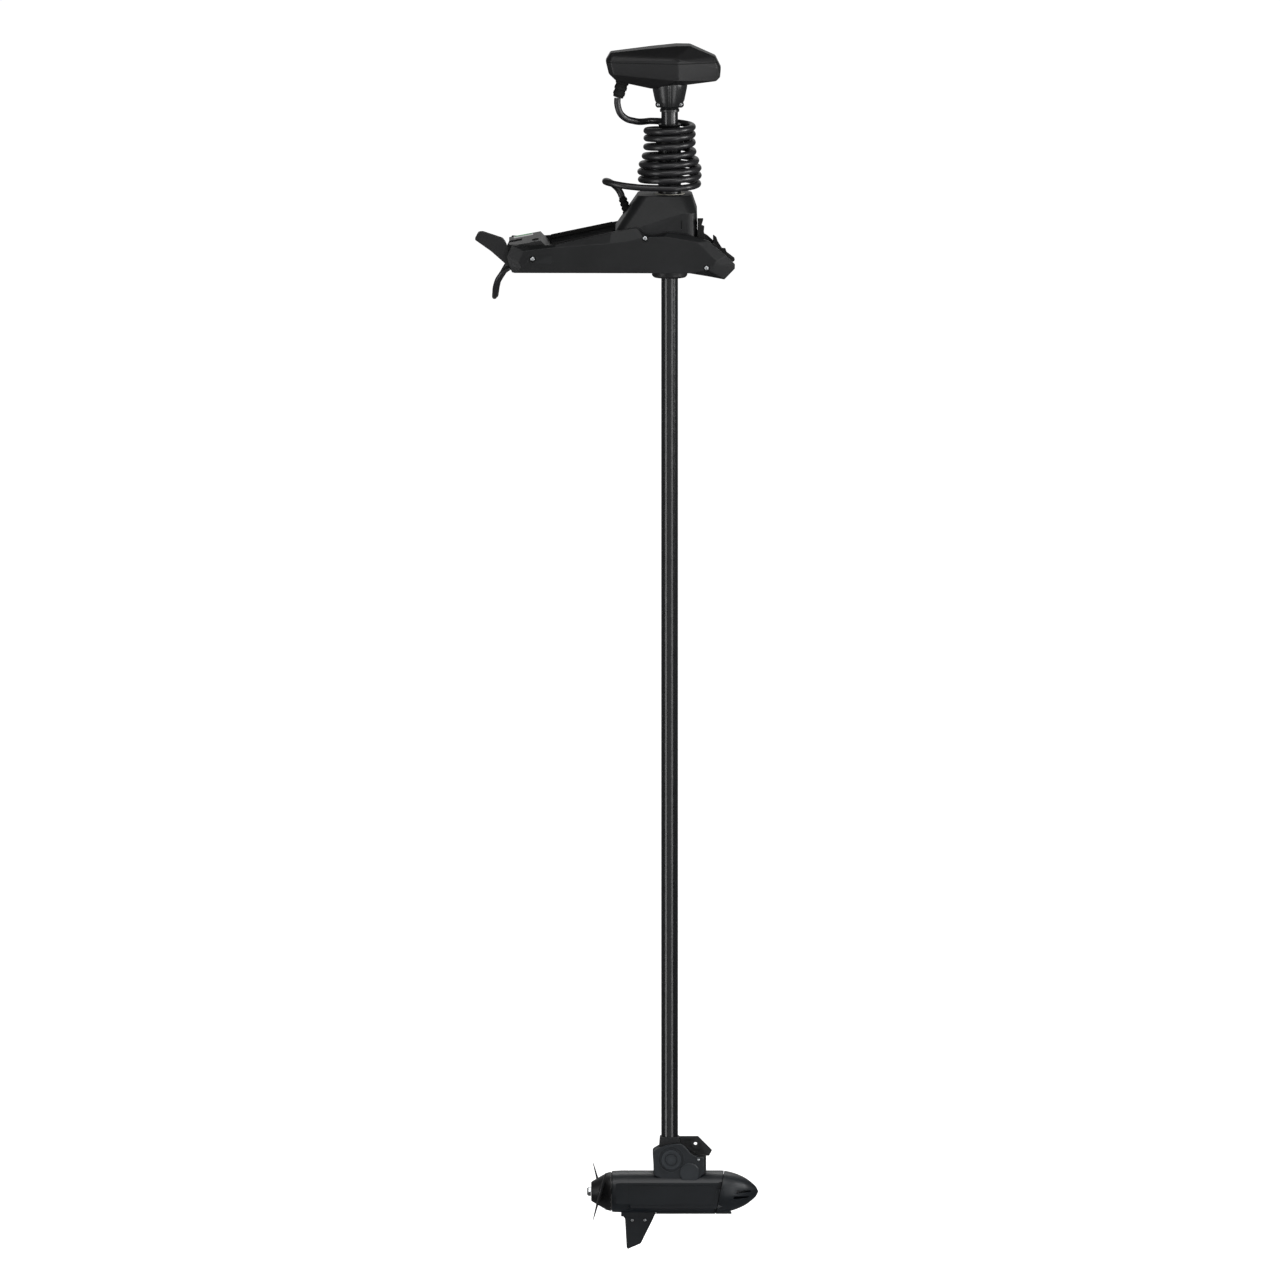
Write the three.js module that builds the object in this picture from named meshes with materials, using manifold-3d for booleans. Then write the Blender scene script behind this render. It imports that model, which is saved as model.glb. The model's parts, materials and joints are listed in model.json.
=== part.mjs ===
// A bow-mount electric trolling motor, standing as it works, with its motor down.
// Millimetres. +Z is up, +X is the way the motor pulls, -Y is the starboard side.
// The origin is the centre of the base's underside, which is bolted to the deck.
import * as THREE from 'three';
import { mergeVertices } from 'three/addons/utils/BufferGeometryUtils.js';
import { ConvexGeometry } from 'three/addons/geometries/ConvexGeometry.js';
import Module from 'manifold-3d';

const wasm = await Module();
wasm.setup();

// Driving dimensions
const GAP = 0.3; // between pieces that touch
const ROUND = 24; // sides of a large round piece
const SMALL = 12; // sides of a small round piece
const PLATE_OUT = 98; // outer face of a side plate, from the middle
const PLATE_IN = 80; // inner face of a side plate
const FLOOR_TOP = 6;
const FLOOR_REAR = -168.7;
const FLOOR_FRONT = 85;
const PIVOT = [66, 80]; // X and Z of the axle that the tower stows about
const AXLE_R = 7.7;
const SHAFT_X = 145.5;
const SHAFT_R = 17.5;
const SHAFT_BORE = 15.5;
const SHAFT_TOP = 396;
const SHAFT_FOOT = -1893;
const SLEEVE_R = 24;
const COIL_R = 48; // middle of the coil cord's upper turns
const COIL_LOW_R = 59; // middle of its lower turns
const COIL_CORD_R = 7;
const COIL_FOOT = 165;
const COIL_STEP = 232;
const COIL_TOP = 295;
const GEAR_TEETH = 36;
const PINION_TEETH = 12;
const GEAR_MODULE = 2;
const GEAR_Z = [60, 71];
const MOTOR_Z = -1945.5;
const MOTOR_R = 44;
const MOTOR_FLAT = 38; // half width between the motor's flat sides
const PROP_R = 145;
const POWER_CORD_R = 7;
const HANK = { x: [-137, 77], y: 155, r: 49, height: 28.4 };
const SCREWS = [[-141, 29], [94.3, 72.6], [222.6, 10]]; // X and Z on a side plate

// Materials
function finish(colour, roughness, metalness = 0) {
  return new THREE.MeshStandardMaterial({ color: colour, roughness, metalness });
}
const castBlack = finish(0x232527, 0.6, 0.3);
const plasticBlack = finish(0x1f2123, 0.5);
const shaftBlack = finish(0x17181a, 0.3);
const motorBlack = finish(0x22262a, 0.4, 0.3);
const rubberBlack = finish(0x141414, 0.85);
const cordBlack = finish(0x2b2b2d, 0.6);
const bladeBlack = finish(0x1b1b1c, 0.5);
const brightSteel = finish(0xc9cbcd, 0.25, 1);
const nylon = finish(0xd8d6cc, 0.5);
const copper = finish(0xa65f33, 0.35, 1);
const magnetGrey = finish(0x3b3b3e, 0.5, 0.5);
const boardGreen = finish(0x1f5a35, 0.5);
const lensGreen = finish(0x1d7a3c, 0.15);

// Solids
function toSolid(geometry) {
  const plain = geometry.index ? geometry.toNonIndexed() : geometry.clone();
  plain.deleteAttribute('normal');
  plain.deleteAttribute('uv');
  const merged = mergeVertices(plain, 1e-4);
  const points = merged.attributes.position.array;
  const corners = merged.index.array;
  const kept = [];
  let volume = 0;
  for (let i = 0; i < corners.length; i += 3) {
    const [a, b, c] = corners.slice(i, i + 3);
    if (a === b || b === c || c === a) continue;
    kept.push(a, b, c);
    const [p, q, r] = [a, b, c].map((k) => new THREE.Vector3().fromArray(points, k * 3));
    volume += p.dot(q.cross(r));
  }
  if (volume < 0) kept.reverse();
  return new wasm.Manifold(new wasm.Mesh({
    numProp: 3,
    vertProperties: new Float32Array(points),
    triVerts: new Uint32Array(kept),
  }));
}

function toGeometry(solid) {
  const mesh = solid.getMesh();
  const geometry = new THREE.BufferGeometry();
  geometry.setAttribute('position', new THREE.BufferAttribute(mesh.vertProperties, 3));
  geometry.setIndex(new THREE.BufferAttribute(mesh.triVerts, 1));
  geometry.computeVertexNormals();
  return geometry;
}

const AXES = {
  x: [[0, 1, 0], [0, 0, 1], [1, 0, 0]],
  y: [[1, 0, 0], [0, 0, 1], [0, -1, 0]],
  z: [[1, 0, 0], [0, 1, 0], [0, 0, 1]],
};

// An outline extruded along an axis, from low to high. Outlines across x are in Y and Z,
// across y in X and Z, and across z in X and Y.
function prism(axis, outline, low, high) {
  const shape = new THREE.Shape(outline.map(([a, b]) => new THREE.Vector2(a, b)));
  const geometry = new THREE.ExtrudeGeometry(shape, { depth: high - low, bevelEnabled: false });
  const [a, b, c] = AXES[axis].map((v) => new THREE.Vector3(...v));
  geometry.applyMatrix4(new THREE.Matrix4().makeBasis(a, b, c));
  const start = axis === 'y' ? high : low;
  const along = new THREE.Vector3(axis === 'x', axis === 'y', axis === 'z').multiplyScalar(start);
  return toSolid(geometry.translate(along.x, along.y, along.z));
}

function block(x, y, z) {
  const geometry = new THREE.BoxGeometry(x[1] - x[0], y[1] - y[0], z[1] - z[0]);
  return toSolid(geometry.translate((x[0] + x[1]) / 2, (y[0] + y[1]) / 2, (z[0] + z[1]) / 2));
}

// A profile of [radius, distance] turned about the line from a point along a direction.
function turned(profile, from, along, sides = ROUND) {
  const geometry = new THREE.LatheGeometry(profile.map(([r, d]) => new THREE.Vector2(r, d)), sides);
  const turn = new THREE.Quaternion();
  turn.setFromUnitVectors(new THREE.Vector3(0, 1, 0), new THREE.Vector3(...along).normalize());
  geometry.applyQuaternion(turn);
  return toSolid(geometry.translate(...from));
}

function rod(from, along, radius, length, sides = SMALL) {
  return turned([[0, 0], [radius, 0], [radius, length], [0, length]], from, along, sides);
}

function ring(from, along, inner, outer, length, sides = ROUND) {
  const profile = [[inner, 0], [outer, 0], [outer, length], [inner, length], [inner, 0]];
  return turned(profile, from, along, sides);
}

const UP = [0, 0, 1];
const FORE = [1, 0, 0];
const onShaft = (z) => [SHAFT_X, 0, z];
const onMotor = (x) => [x, 0, MOTOR_Z];

// A skin over closed sections of equal length, each a list of [x, y, z], with flat ends.
// flat gives the two coordinates that the ends are filled in.
function loft(sections, flat) {
  const count = sections[0].length;
  const faces = [];
  for (let s = 0; s + 1 < sections.length; s++) {
    for (let i = 0; i < count; i++) {
      const a = s * count + i;
      const b = s * count + ((i + 1) % count);
      faces.push(a, b, b + count, a, b + count, a + count);
    }
  }
  const first = sections[0].map(flat);
  const last = sections[sections.length - 1].map(flat);
  const turnedOver = THREE.ShapeUtils.isClockWise(first);
  const end = (sections.length - 1) * count;
  for (const [a, b, c] of THREE.ShapeUtils.triangulateShape(first, [])) {
    faces.push(...(turnedOver ? [a, b, c] : [a, c, b]));
  }
  for (const [a, b, c] of THREE.ShapeUtils.triangulateShape(last, [])) {
    faces.push(...(turnedOver ? [end + a, end + c, end + b] : [end + a, end + b, end + c]));
  }
  const geometry = new THREE.BufferGeometry();
  geometry.setAttribute('position', new THREE.Float32BufferAttribute(sections.flat(2), 3));
  geometry.setIndex(faces);
  return toSolid(geometry);
}

// A tube with flat ends along a smooth curve through the points.
function tube(points, radius, steps, sides = 8) {
  const path = new THREE.CatmullRomCurve3(points.map((p) => new THREE.Vector3(...p)), false, 'centripetal');
  const corners = Array.from({ length: sides }, (_, i) => {
    const angle = (2 * Math.PI * i) / sides;
    return new THREE.Vector2(radius * Math.cos(angle), radius * Math.sin(angle));
  });
  return toSolid(new THREE.ExtrudeGeometry(new THREE.Shape(corners), { steps, extrudePath: path }));
}

const group = new THREE.Group();

function piece(name, solid, material) {
  const mesh = new THREE.Mesh(toGeometry(solid), material);
  mesh.name = name;
  group.add(mesh);
  return solid;
}

function sideOf(side) {
  return side < 0 ? 'starboard' : 'port';
}

// ---------------------------------------------------------------- base

// Each entry is a point of the flat outer face, then its partner on the inner edge.
const PLATE_REAR = [
  [-179, 0, -184, 0],
  [-163.6, 11.4, -190, 15],
  [-169, 22.7, -196, 33],
  [-160, 45, -184, 57],
  [-148, 48, -150, 55],
  [-93, 54, -95, 58.5],
  [21, 62, 25, 85],
  [55, 66, 60, 92],
  [89, 74, 77, 94.5],
  [94, 75.5, 94, 81.5],
  [100, 76, 102, 77.5],
  [118, 76, 118.5, 77.5],
  [134, 76, 140, 84],
  [170, 70.5, 184, 79],
];
const ARM_FRONT = {
  starboard: [[203, 65, 226, 66.5], [243.5, 25.5, 263, 35], [240, 21, 282, 17], [236, 15, 282, 8]],
  port: [[203, 65, 224, 58], [243.5, 25.5, 255, 30], [240, 21, 281, 10], [236, 15, 282, 5]],
};
const ARM_FOOT = [[228, 6, 260, -15], [185, -1, 188, -1]];
const BEVEL_IN = 88; // where the bevels of a side plate end

function across(side, low, high) {
  return side < 0 ? [-high, -low] : [low, high];
}

function screwPlace(side, x, z, y) {
  return [[x, side * y, z], [0, side, 0]];
}

function sidePlate(side) {
  const corners = [...PLATE_REAR, ...ARM_FRONT[sideOf(side)], ...ARM_FOOT];
  const outer = corners.map(([x, z]) => [x, side * PLATE_OUT, z]);
  const middle = corners.map(([, , x, z]) => [x, side * BEVEL_IN, z]);
  const inner = corners.map(([, , x, z]) => [x, side * PLATE_IN, z]);
  let plate = loft([outer, middle, inner], (p) => new THREE.Vector2(p[0], p[2]));
  for (const [x, z] of SCREWS) {
    plate = plate.subtract(rod(...screwPlace(side, x, z, 94), 7, 6, 16));
    plate = plate.subtract(rod(...screwPlace(side, x, z, 86), 4.5 + GAP, 9));
  }
  plate = plate.subtract(rod(...screwPlace(side, ...PIVOT, 79), AXLE_R + GAP, 9.8, 16));
  return side < 0 ? plate.subtract(rod(...screwPlace(side, ...PEDAL_PIN, 79), 4 + GAP, 9.3)) : plate;
}

const PEDAL_PIN = [-178, 17];

function padOutline() {
  return [[236, 20], [236, 60], [243, 55], [246, 46], [255, 31.5], [262, 31.5], [265, 22], [279, 8], [262, -9]];
}

for (const side of [-1, 1]) {
  const name = sideOf(side);
  piece(`side_plate_${name}`, sidePlate(side), castBlack);
  piece(`rest_pad_${name}`, prism('y', padOutline(), ...across(side, 64, PLATE_IN - GAP)), rubberBlack);
  const rail = [[-103, 51], [-103, 60], [26, 87], [26, 77]];
  piece(`channel_rail_${name}`, prism('y', rail, ...across(side, 76, PLATE_IN - GAP)), rubberBlack);
}
SCREWS.forEach(([x, z], i) => {
  const screw = rod(...screwPlace(-1, x, z, 86.3), 4.5, 10, 10);
  piece(`plate_screw_${['rear', 'middle', 'front'][i]}`, screw, brightSteel);
});

const MOUNT_HOLES = [[-150, -52], [-150, 52], [60, -52], [60, 52]];
let floorPlate = block([FLOOR_REAR, FLOOR_FRONT], [-PLATE_IN + GAP, PLATE_IN - GAP], [0, FLOOR_TOP]);
for (const [x, y] of MOUNT_HOLES) {
  floorPlate = floorPlate.subtract(rod([x, y, -1], UP, 4.5, 8));
}
piece('base_floor_plate', floorPlate, castBlack);

piece('pivot_axle', rod([PIVOT[0], -88.5, PIVOT[1]], [0, 1, 0], AXLE_R, 177, 16), brightSteel);

const GLAND_START = [-167.5, -20, 17];
const GLAND_WAY = new THREE.Vector3(-0.85, 0, -0.53).normalize().toArray();
const crossbar = block([-177, -169], [-54, PLATE_IN - GAP], [0, 30]);
piece('rear_crossbar', crossbar.subtract(rod([-160, -20, 21.7], GLAND_WAY, 9.3, 40, 16)), castBlack);

// Display box: its top slopes up towards the tower, and a notch at the rear clears the stowed cord.
const boxTop = (x) => 54 + (x + 190) * 0.1894;
const boxPlan = [
  [-190, 79.7], [-190, 16], [-163, 16], [-163, -16], [-190, -16],
  [-190, -50], [-172, -79.7], [-104, -79.7], [-104, 79.7],
];
const boxSide = [[-190, 44], [-190, boxTop(-190)], [-124, boxTop(-124)], [-118, 60], [-104, 48], [-104, 44]];
const hollowSide = [
  [-160, 40], [-160, boxTop(-160) - 3], [-126, boxTop(-126) - 3], [-119, 55], [-108, 46], [-108, 40],
];
const windowSide = (from, to) => [
  [from, boxTop(from) - 1.8], [from, boxTop(from) + 0.2], [to, boxTop(to) + 0.2], [to, boxTop(to) - 1.8],
];
const BUTTON = { x: -135, y: -48, r: 7, travel: 1.5 };
const boxSlope = Math.atan(0.1894);
const buttonWay = [-Math.sin(boxSlope), 0, Math.cos(boxSlope)];
function buttonAt(depth) {
  return [BUTTON.x - depth * buttonWay[0], BUTTON.y, boxTop(BUTTON.x) - depth * buttonWay[2]];
}
let displayBox = prism('z', boxPlan, 40, 80).intersect(prism('y', boxSide, -85, 85));
displayBox = displayBox.subtract(prism('y', hollowSide, -76, 76));
displayBox = displayBox.subtract(prism('y', windowSide(-181, -139), 39, 73));
displayBox = displayBox.subtract(rod(buttonAt(10), buttonWay, BUTTON.r + GAP, 20));
piece('display_box', displayBox, plasticBlack);
const lens = prism('y', windowSide(-180.7, -139.3), 39.3, 72.7);
piece('display_window', lens.subtract(block([-185, -135], [38, 74], [63.6, 70])), lensGreen);
piece('display_board', block([-156, -112], [-66, 66], [45, 47]), boardGreen);
piece('power_button', rod(buttonAt(6), buttonWay, BUTTON.r, 8), rubberBlack);

// ---------------------------------------------------------------- release pedal and latch

const PEDAL_Y = [-78.5, -58];
const pedalOutline = [
  [-262, 68], [-254, 83], [-245, 84], [-203, 70], [-197, 62], [-190, 42], [-171, 27], [-168, 17],
  [-173, 8.5], [-183, 8], [-195, 14.5], [-227, 43],
];
const pedal = prism('y', pedalOutline, ...PEDAL_Y);
const pinHole = rod([PEDAL_PIN[0], -90, PEDAL_PIN[1]], [0, 1, 0], 4 + GAP, 60);
piece('release_pedal', pedal.subtract(pinHole), plasticBlack);
piece('pedal_pin', rod([PEDAL_PIN[0], -88, PEDAL_PIN[1]], [0, 1, 0], 4, 34), brightSteel);
const latchRod = block([-163, 40], [-67, -59], [28, 36]).add(block([28, 53], [-67, -51], [26, 38]));
piece('latch_bolt', latchRod, brightSteel);

// ---------------------------------------------------------------- tower

// Rounded rectangles: height, rear, front, half width, corner radius.
const TOWER = [
  [9, 68, 200, 60, 16],
  [60, 45, 203, 77, 20],
  [84, 32, 203.4, 77, 22],
  [103, 44.4, 203.4, 74, 24],
  [122, 57, 202.5, 68, 26],
  [156, 79, 192, 54, 28],
];
const CORNER_STEPS = 4;

function roundedSection([z, rear, front, half, radius], inset) {
  const r = Math.max(radius - inset, 2);
  const x = [front - inset - r, rear + inset + r];
  const y = half - inset - r;
  const centres = [[x[0], y], [x[1], y], [x[1], -y], [x[0], -y]];
  return centres.flatMap(([cx, cy], quarter) => (
    Array.from({ length: CORNER_STEPS + 1 }, (_, i) => {
      const angle = (quarter + i / CORNER_STEPS) * (Math.PI / 2);
      return [cx + r * Math.cos(angle), cy + r * Math.sin(angle), z];
    })
  ));
}
const towerSkin = (sections, inset) => (
  loft(sections.map((s) => roundedSection(s, inset)), (p) => new THREE.Vector2(p[0], p[1]))
);
const towerOuter = towerSkin(TOWER, 0);
const hollow = [[8, ...TOWER[0].slice(1)], ...TOWER.slice(1, 5), [150, ...TOWER[5].slice(1)]];
const axleHole = rod([PIVOT[0], -100, PIVOT[1]], [0, 1, 0], AXLE_R + GAP, 200, 16);
const axleBosses = ring([PIVOT[0], -76, PIVOT[1]], [0, 1, 0], AXLE_R + GAP, 14, 152);
let tower = towerOuter.subtract(towerSkin(hollow, 5)).add(axleBosses.intersect(towerOuter));
tower = tower.subtract(axleHole).subtract(rod(onShaft(140), UP, 32, 30, ROUND));
piece('tower_housing', tower, castBlack);

const lid = roundedSection([9.3, 68, 200, 60, 16], 5 + GAP).map(([x, y]) => [x, y]);
const lidBore = rod(onShaft(0), UP, SLEEVE_R + 0.5, 30, ROUND);
piece('tower_base_cover', prism('z', lid, 9.3, 14).subtract(lidBore), castBlack);
const underCollar = [[30.3, -20], [34, -20], [37, -16], [37, 9], [30.3, 9], [30.3, -20]];
piece('guide_collar', turned(underCollar, onShaft(0), UP), plasticBlack);
piece('lower_bush', ring(onShaft(-19.5), UP, SLEEVE_R + GAP, 30, 28), nylon);
piece('upper_bush', ring(onShaft(138), UP, SLEEVE_R + GAP, 31.7, 19), nylon);

// The bumper at the tower's starboard front corner.
const bumperOutline = [
  [203.8, 62], [203.8, 110], [216, 110], [214, 103], [212, 96], [218, 94], [217, 84], [219.5, 62],
];
piece('tower_bumper', prism('y', bumperOutline, -74, -50), rubberBlack);

// Steering drive: a servo turns a pinion that meshes with the gear on the sleeve.
const GEAR_REACH = (GEAR_MODULE * (GEAR_TEETH + PINION_TEETH)) / 2;
const PINION_X = SHAFT_X - GEAR_REACH;
const PRESSURE = THREE.MathUtils.degToRad(20);
const TOOTH_SHARE = 0.4; // of the pitch, which leaves the backlash

// Gear teeth with involute flanks, as a closed outline of [x, y] about the origin.
function gearOutline(teeth, addendum, dedendum, start) {
  const pitchR = (GEAR_MODULE * teeth) / 2;
  const baseR = pitchR * Math.cos(PRESSURE);
  const involute = (r) => (r > baseR ? Math.sqrt((r / baseR) ** 2 - 1) - Math.acos(baseR / r) : 0);
  const halfAt = (r) => (TOOTH_SHARE * Math.PI) / teeth + involute(pitchR) - involute(r);
  const radii = [pitchR - dedendum, pitchR - 0.3, pitchR + addendum];
  const flank = radii.map((r) => [r, halfAt(r)]);
  return Array.from({ length: teeth }, (_, i) => {
    const middle = start + (2 * Math.PI * i) / teeth;
    const rising = flank.map(([r, half]) => [r, middle - half]);
    const falling = flank.toReversed().map(([r, half]) => [r, middle + half]);
    return [...rising, ...falling];
  }).flat().map(([r, angle]) => [r * Math.cos(angle), r * Math.sin(angle)]);
}
const shifted = (outline, dx) => outline.map(([x, y]) => [x + dx, y]);
const gearTeeth = prism('z', shifted(gearOutline(GEAR_TEETH, 1.4, 2.2, 0), SHAFT_X), ...GEAR_Z);
piece('steering_gear', gearTeeth.subtract(rod(onShaft(50), UP, SLEEVE_R + GAP, 40, ROUND)), nylon);
const pinionTeeth = shifted(gearOutline(PINION_TEETH, 1.5, 2.1, Math.PI / PINION_TEETH), PINION_X);
const pinionShaft = rod([PINION_X, 0, 50], UP, 4, 15);
piece('servo_pinion', prism('z', pinionTeeth, ...GEAR_Z).add(pinionShaft), brightSteel);
const servoCan = rod([PINION_X, 0, 14.5], UP, 19, 42, ROUND);
piece('steering_servo', servoCan.subtract(rod([PINION_X, 0, 49], UP, 4.4, 10)), motorBlack);

piece('steering_sleeve', ring(onShaft(-18), UP, SHAFT_R + GAP, SLEEVE_R, 268), brightSteel);
const collarProfile = [
  [17.8, 250.3], [29, 250.3], [29, 284], [24, 288], [19.5, 291], [24, 302], [17.8, 302], [17.8, 250.3],
];
piece('depth_collar', turned(collarProfile, onShaft(0), UP), plasticBlack);

// ---------------------------------------------------------------- coil cord

const cordIn = COIL_R - COIL_CORD_R;
const coilProfile = [
  [cordIn, COIL_FOOT], [COIL_LOW_R + COIL_CORD_R, COIL_FOOT], [COIL_LOW_R + COIL_CORD_R, COIL_STEP],
  [COIL_R + COIL_CORD_R, COIL_STEP], [COIL_R + COIL_CORD_R, COIL_TOP], [cordIn, COIL_TOP],
  [cordIn, COIL_FOOT],
];
piece('coil_cord', turned(coilProfile, onShaft(0), UP), cordBlack);
const headLead = [
  [36.6, 0, 356.5], [36.4, 0, 344], [41.8, 2, 325], [55, 8, 312], [70, 16, 306.5], [84, 25, 303.5],
];
piece('coil_cord_head_lead', tube(headLead, COIL_CORD_R, 12), cordBlack);
const towerLead = [
  [92.5, -50, 173.5], [72, -48, 175], [50, -43, 177], [31, -35, 179.5], [16, -22, 181.5], [11, -6, 182],
  [16, 10, 180], [27, 19, 173], [37, 23.5, 163], [43, 24, 153.5], [45.6, 24, 146.6],
];
piece('coil_cord_tower_lead', tube(towerLead, COIL_CORD_R, 18), cordBlack);
// A ribbed strain relief that tapers from its foot to its tip, as [radius, distance].
function ribbed(foot, tip, length, ribs) {
  const profile = [[0, 0]];
  for (let i = 0; i < ribs; i++) {
    const r = foot + ((tip - foot) * i) / ribs;
    const step = length / ribs;
    profile.push([r, i * step], [r, (i + 0.55) * step]);
    profile.push([r - 1.6, (i + 0.6) * step], [r - 1.6, (i + 0.95) * step]);
  }
  profile.push([tip - 1.6, length], [0, length]);
  return profile;
}
const towerGland = turned(ribbed(10, 8.5, 36, 3), [58, 24, 111.5], [-0.35, 0, 1], 16);
piece('tower_cord_gland', towerGland.subtract(towerOuter.translate(-GAP, 0, 0.2)), rubberBlack);

// ---------------------------------------------------------------- head

const HEAD_SEAM = 434;
const mirrored = (points) => points.flatMap(([x, y, z]) => [[x, y, z], [x, -y, z]]);
const headPoints = mirrored([
  [11.7, 16, 436.5], [22, 28, 437], [163, 55, 442], [244.5, 27, 425], [252.7, 17, 422],
  [21.7, 18, 453.8], [108.7, 25, 464], [159, 27, 469], [188, 24, 469], [204.6, 22, 458], [241, 20, 445.6],
  [18.2, 15, 409.2], [28, 26, 409], [34.5, 18, 393.6], [106.8, 26, 379], [125, 28, 380],
  [163, 52, 398], [154, 40, 390], [242.6, 20, 394], [251, 17, 402],
  [24, 25, 446], [161, 50, 449.5], [242, 24.5, 436],
]);
function hull(points) {
  return toSolid(new ConvexGeometry(points.map((p) => new THREE.Vector3(...p))));
}
const headOuter = hull(headPoints);
const HEAD_MIDDLE = [135, 0, 425];
const HEAD_INSIDE = 0.92; // size of the inside against the outside
const towardsMiddle = (v, i) => HEAD_MIDDLE[i] + (v - HEAD_MIDDLE[i]) * HEAD_INSIDE;
const headShell = headOuter.subtract(hull(headPoints.map((p) => p.map(towardsMiddle))));
const below = (z) => block([-100, 400], [-200, 200], [z - 200, z]);
const above = (z) => block([-100, 400], [-200, 200], [z, z + 200]);
const neckBore = rod(onShaft(360), UP, SHAFT_R + GAP, 50, ROUND);
piece('head_cover', headShell.intersect(above(HEAD_SEAM + 1)), plasticBlack);
const glandWay = new THREE.Vector3(-9.4, 0, -33).normalize().toArray();
const glandHole = rod([51, 0, 407], glandWay, 7, 30);
const headBase = headShell.intersect(below(HEAD_SEAM - 1));
piece('head_base', headBase.subtract(neckBore).subtract(glandHole), plasticBlack);
piece('head_board', block([30, 225], [-16, 16], [412, 414]), boardGreen);
const headGland = turned(ribbed(14, 12, 36, 3), [47.5, 0, 393], glandWay, 16);
piece('head_cord_gland', headGland.subtract(headOuter.translate(0, 0, -GAP)), rubberBlack);

const neckProfile = [
  [17.8, 328], [20.4, 328], [20.4, 334], [19, 336], [19.5, 336], [25.5, 339], [28.5, 347],
  [31, 352], [37, 381], [37, 388], [17.8, 388], [17.8, 328],
];
const neck = turned(neckProfile, onShaft(0), UP).subtract(headOuter.translate(0, 0, -GAP));
piece('head_neck', neck, plasticBlack);

// ---------------------------------------------------------------- shaft

piece('shaft_tube', ring(onShaft(SHAFT_FOOT), UP, SHAFT_BORE, SHAFT_R, SHAFT_TOP - SHAFT_FOOT), shaftBlack);

// ---------------------------------------------------------------- motor bracket

const BRACKET_HALF = 20;
const motorCut = rod(onMotor(-50), FORE, MOTOR_R + GAP, 400, ROUND);
const bracketOutline = [
  [125, -1829], [165, -1829], [170, -1846], [196, -1866], [222, -1870], [222, -1920], [112, -1920],
  [111, -1858.5], [123.3, -1851],
];
const shaftCut = rod(onShaft(SHAFT_FOOT - 0.5), UP, SHAFT_R + GAP, 100, ROUND);
const bracketBlock = prism('y', bracketOutline, -BRACKET_HALF, BRACKET_HALF);
const bracket = bracketBlock.subtract(motorCut).subtract(shaftCut);
const earOutline = [
  [165.5, -1829.3], [204.8, -1829.3], [234, -1858.5], [228, -1869.6], [222, -1869.6], [196, -1865.6],
  [170.3, -1845.6],
];
const EAR_HOLE = [199.6, -1844.6];
const earHole = rod([EAR_HOLE[0], -30, EAR_HOLE[1]], [0, 1, 0], 3.7, 60);
const earRoot = prism('y', [[196, -1864], [222, -1864], [222, -1868], [196, -1864.5]], -7, 7);
const ear = prism('y', earOutline, -7, 7).add(earRoot).subtract(bracketBlock.translate(GAP, 0, GAP));
piece('bracket_ear', ear.subtract(earHole), castBlack);
piece('motor_bracket', bracket, castBlack);
const coverOutline = [
  [109.7, -1858.5], [124, -1850], [140, -1844], [160, -1842], [172, -1843], [182, -1852], [190, -1863],
  [204, -1870], [217, -1870], [218, -1903], [205, -1916], [190, -1924], [172, -1917], [158, -1917.5],
  [130, -1916], [113, -1908],
];
const CAP = [148.8, -1874.7];
for (const side of [-1, 1]) {
  const cover = prism('y', coverOutline, ...across(side, BRACKET_HALF + GAP, 31)).subtract(motorCut);
  const cap = rod([CAP[0], side * 33, CAP[1]], [0, side, 0], 21, 3, ROUND);
  const bridge = rod([CAP[0], side * 30, CAP[1]], [0, side, 0], 24, 3.5, ROUND);
  piece(`bracket_cover_${sideOf(side)}`, cover.add(bridge).add(cap), plasticBlack);
}

// ---------------------------------------------------------------- motor

// The radius of the lower unit, nose included, along its axis.
const torpedo = [
  [0, 24.5], [42, 24.5], [43, 27], [MOTOR_R, 45], [MOTOR_R, 250], [42.8, 262], [38.5, 281], [29.5, 302],
  [19.5, 316], [10, 326], [0, 331],
];
const sideCuts = [-1, 1].map((side) => (
  block([33, 249], across(side, MOTOR_FLAT, 60), [MOTOR_Z - 60, MOTOR_Z + 60])
));
// Its sides stay upright down to two lower edges that stand outside the round.
const edgeAt = (x, half, top, low, inner, foot) => mirrored([
  [x, half, MOTOR_Z + top], [x, half, MOTOR_Z - low], [x, inner, MOTOR_Z - foot],
]);
const lowerEdges = hull([
  ...edgeAt(45, 24, 10, 24, 15, 28), ...edgeAt(64, MOTOR_FLAT, 16, 31, 26, 35),
  ...edgeAt(244, MOTOR_FLAT, 16, 31, 26, 35), ...edgeAt(286, 24, 8, 20, 14, 24),
]);
let lowerUnit = turned(torpedo, onMotor(0), FORE);
for (const cut of sideCuts) {
  lowerUnit = lowerUnit.subtract(cut);
}
lowerUnit = lowerUnit.add(lowerEdges);
const keelOutline = [[117, -1991], [275, -1991], [262, -1975], [125, -1975]];
const keelBar = prism('y', keelOutline, -16, 16);
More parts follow.
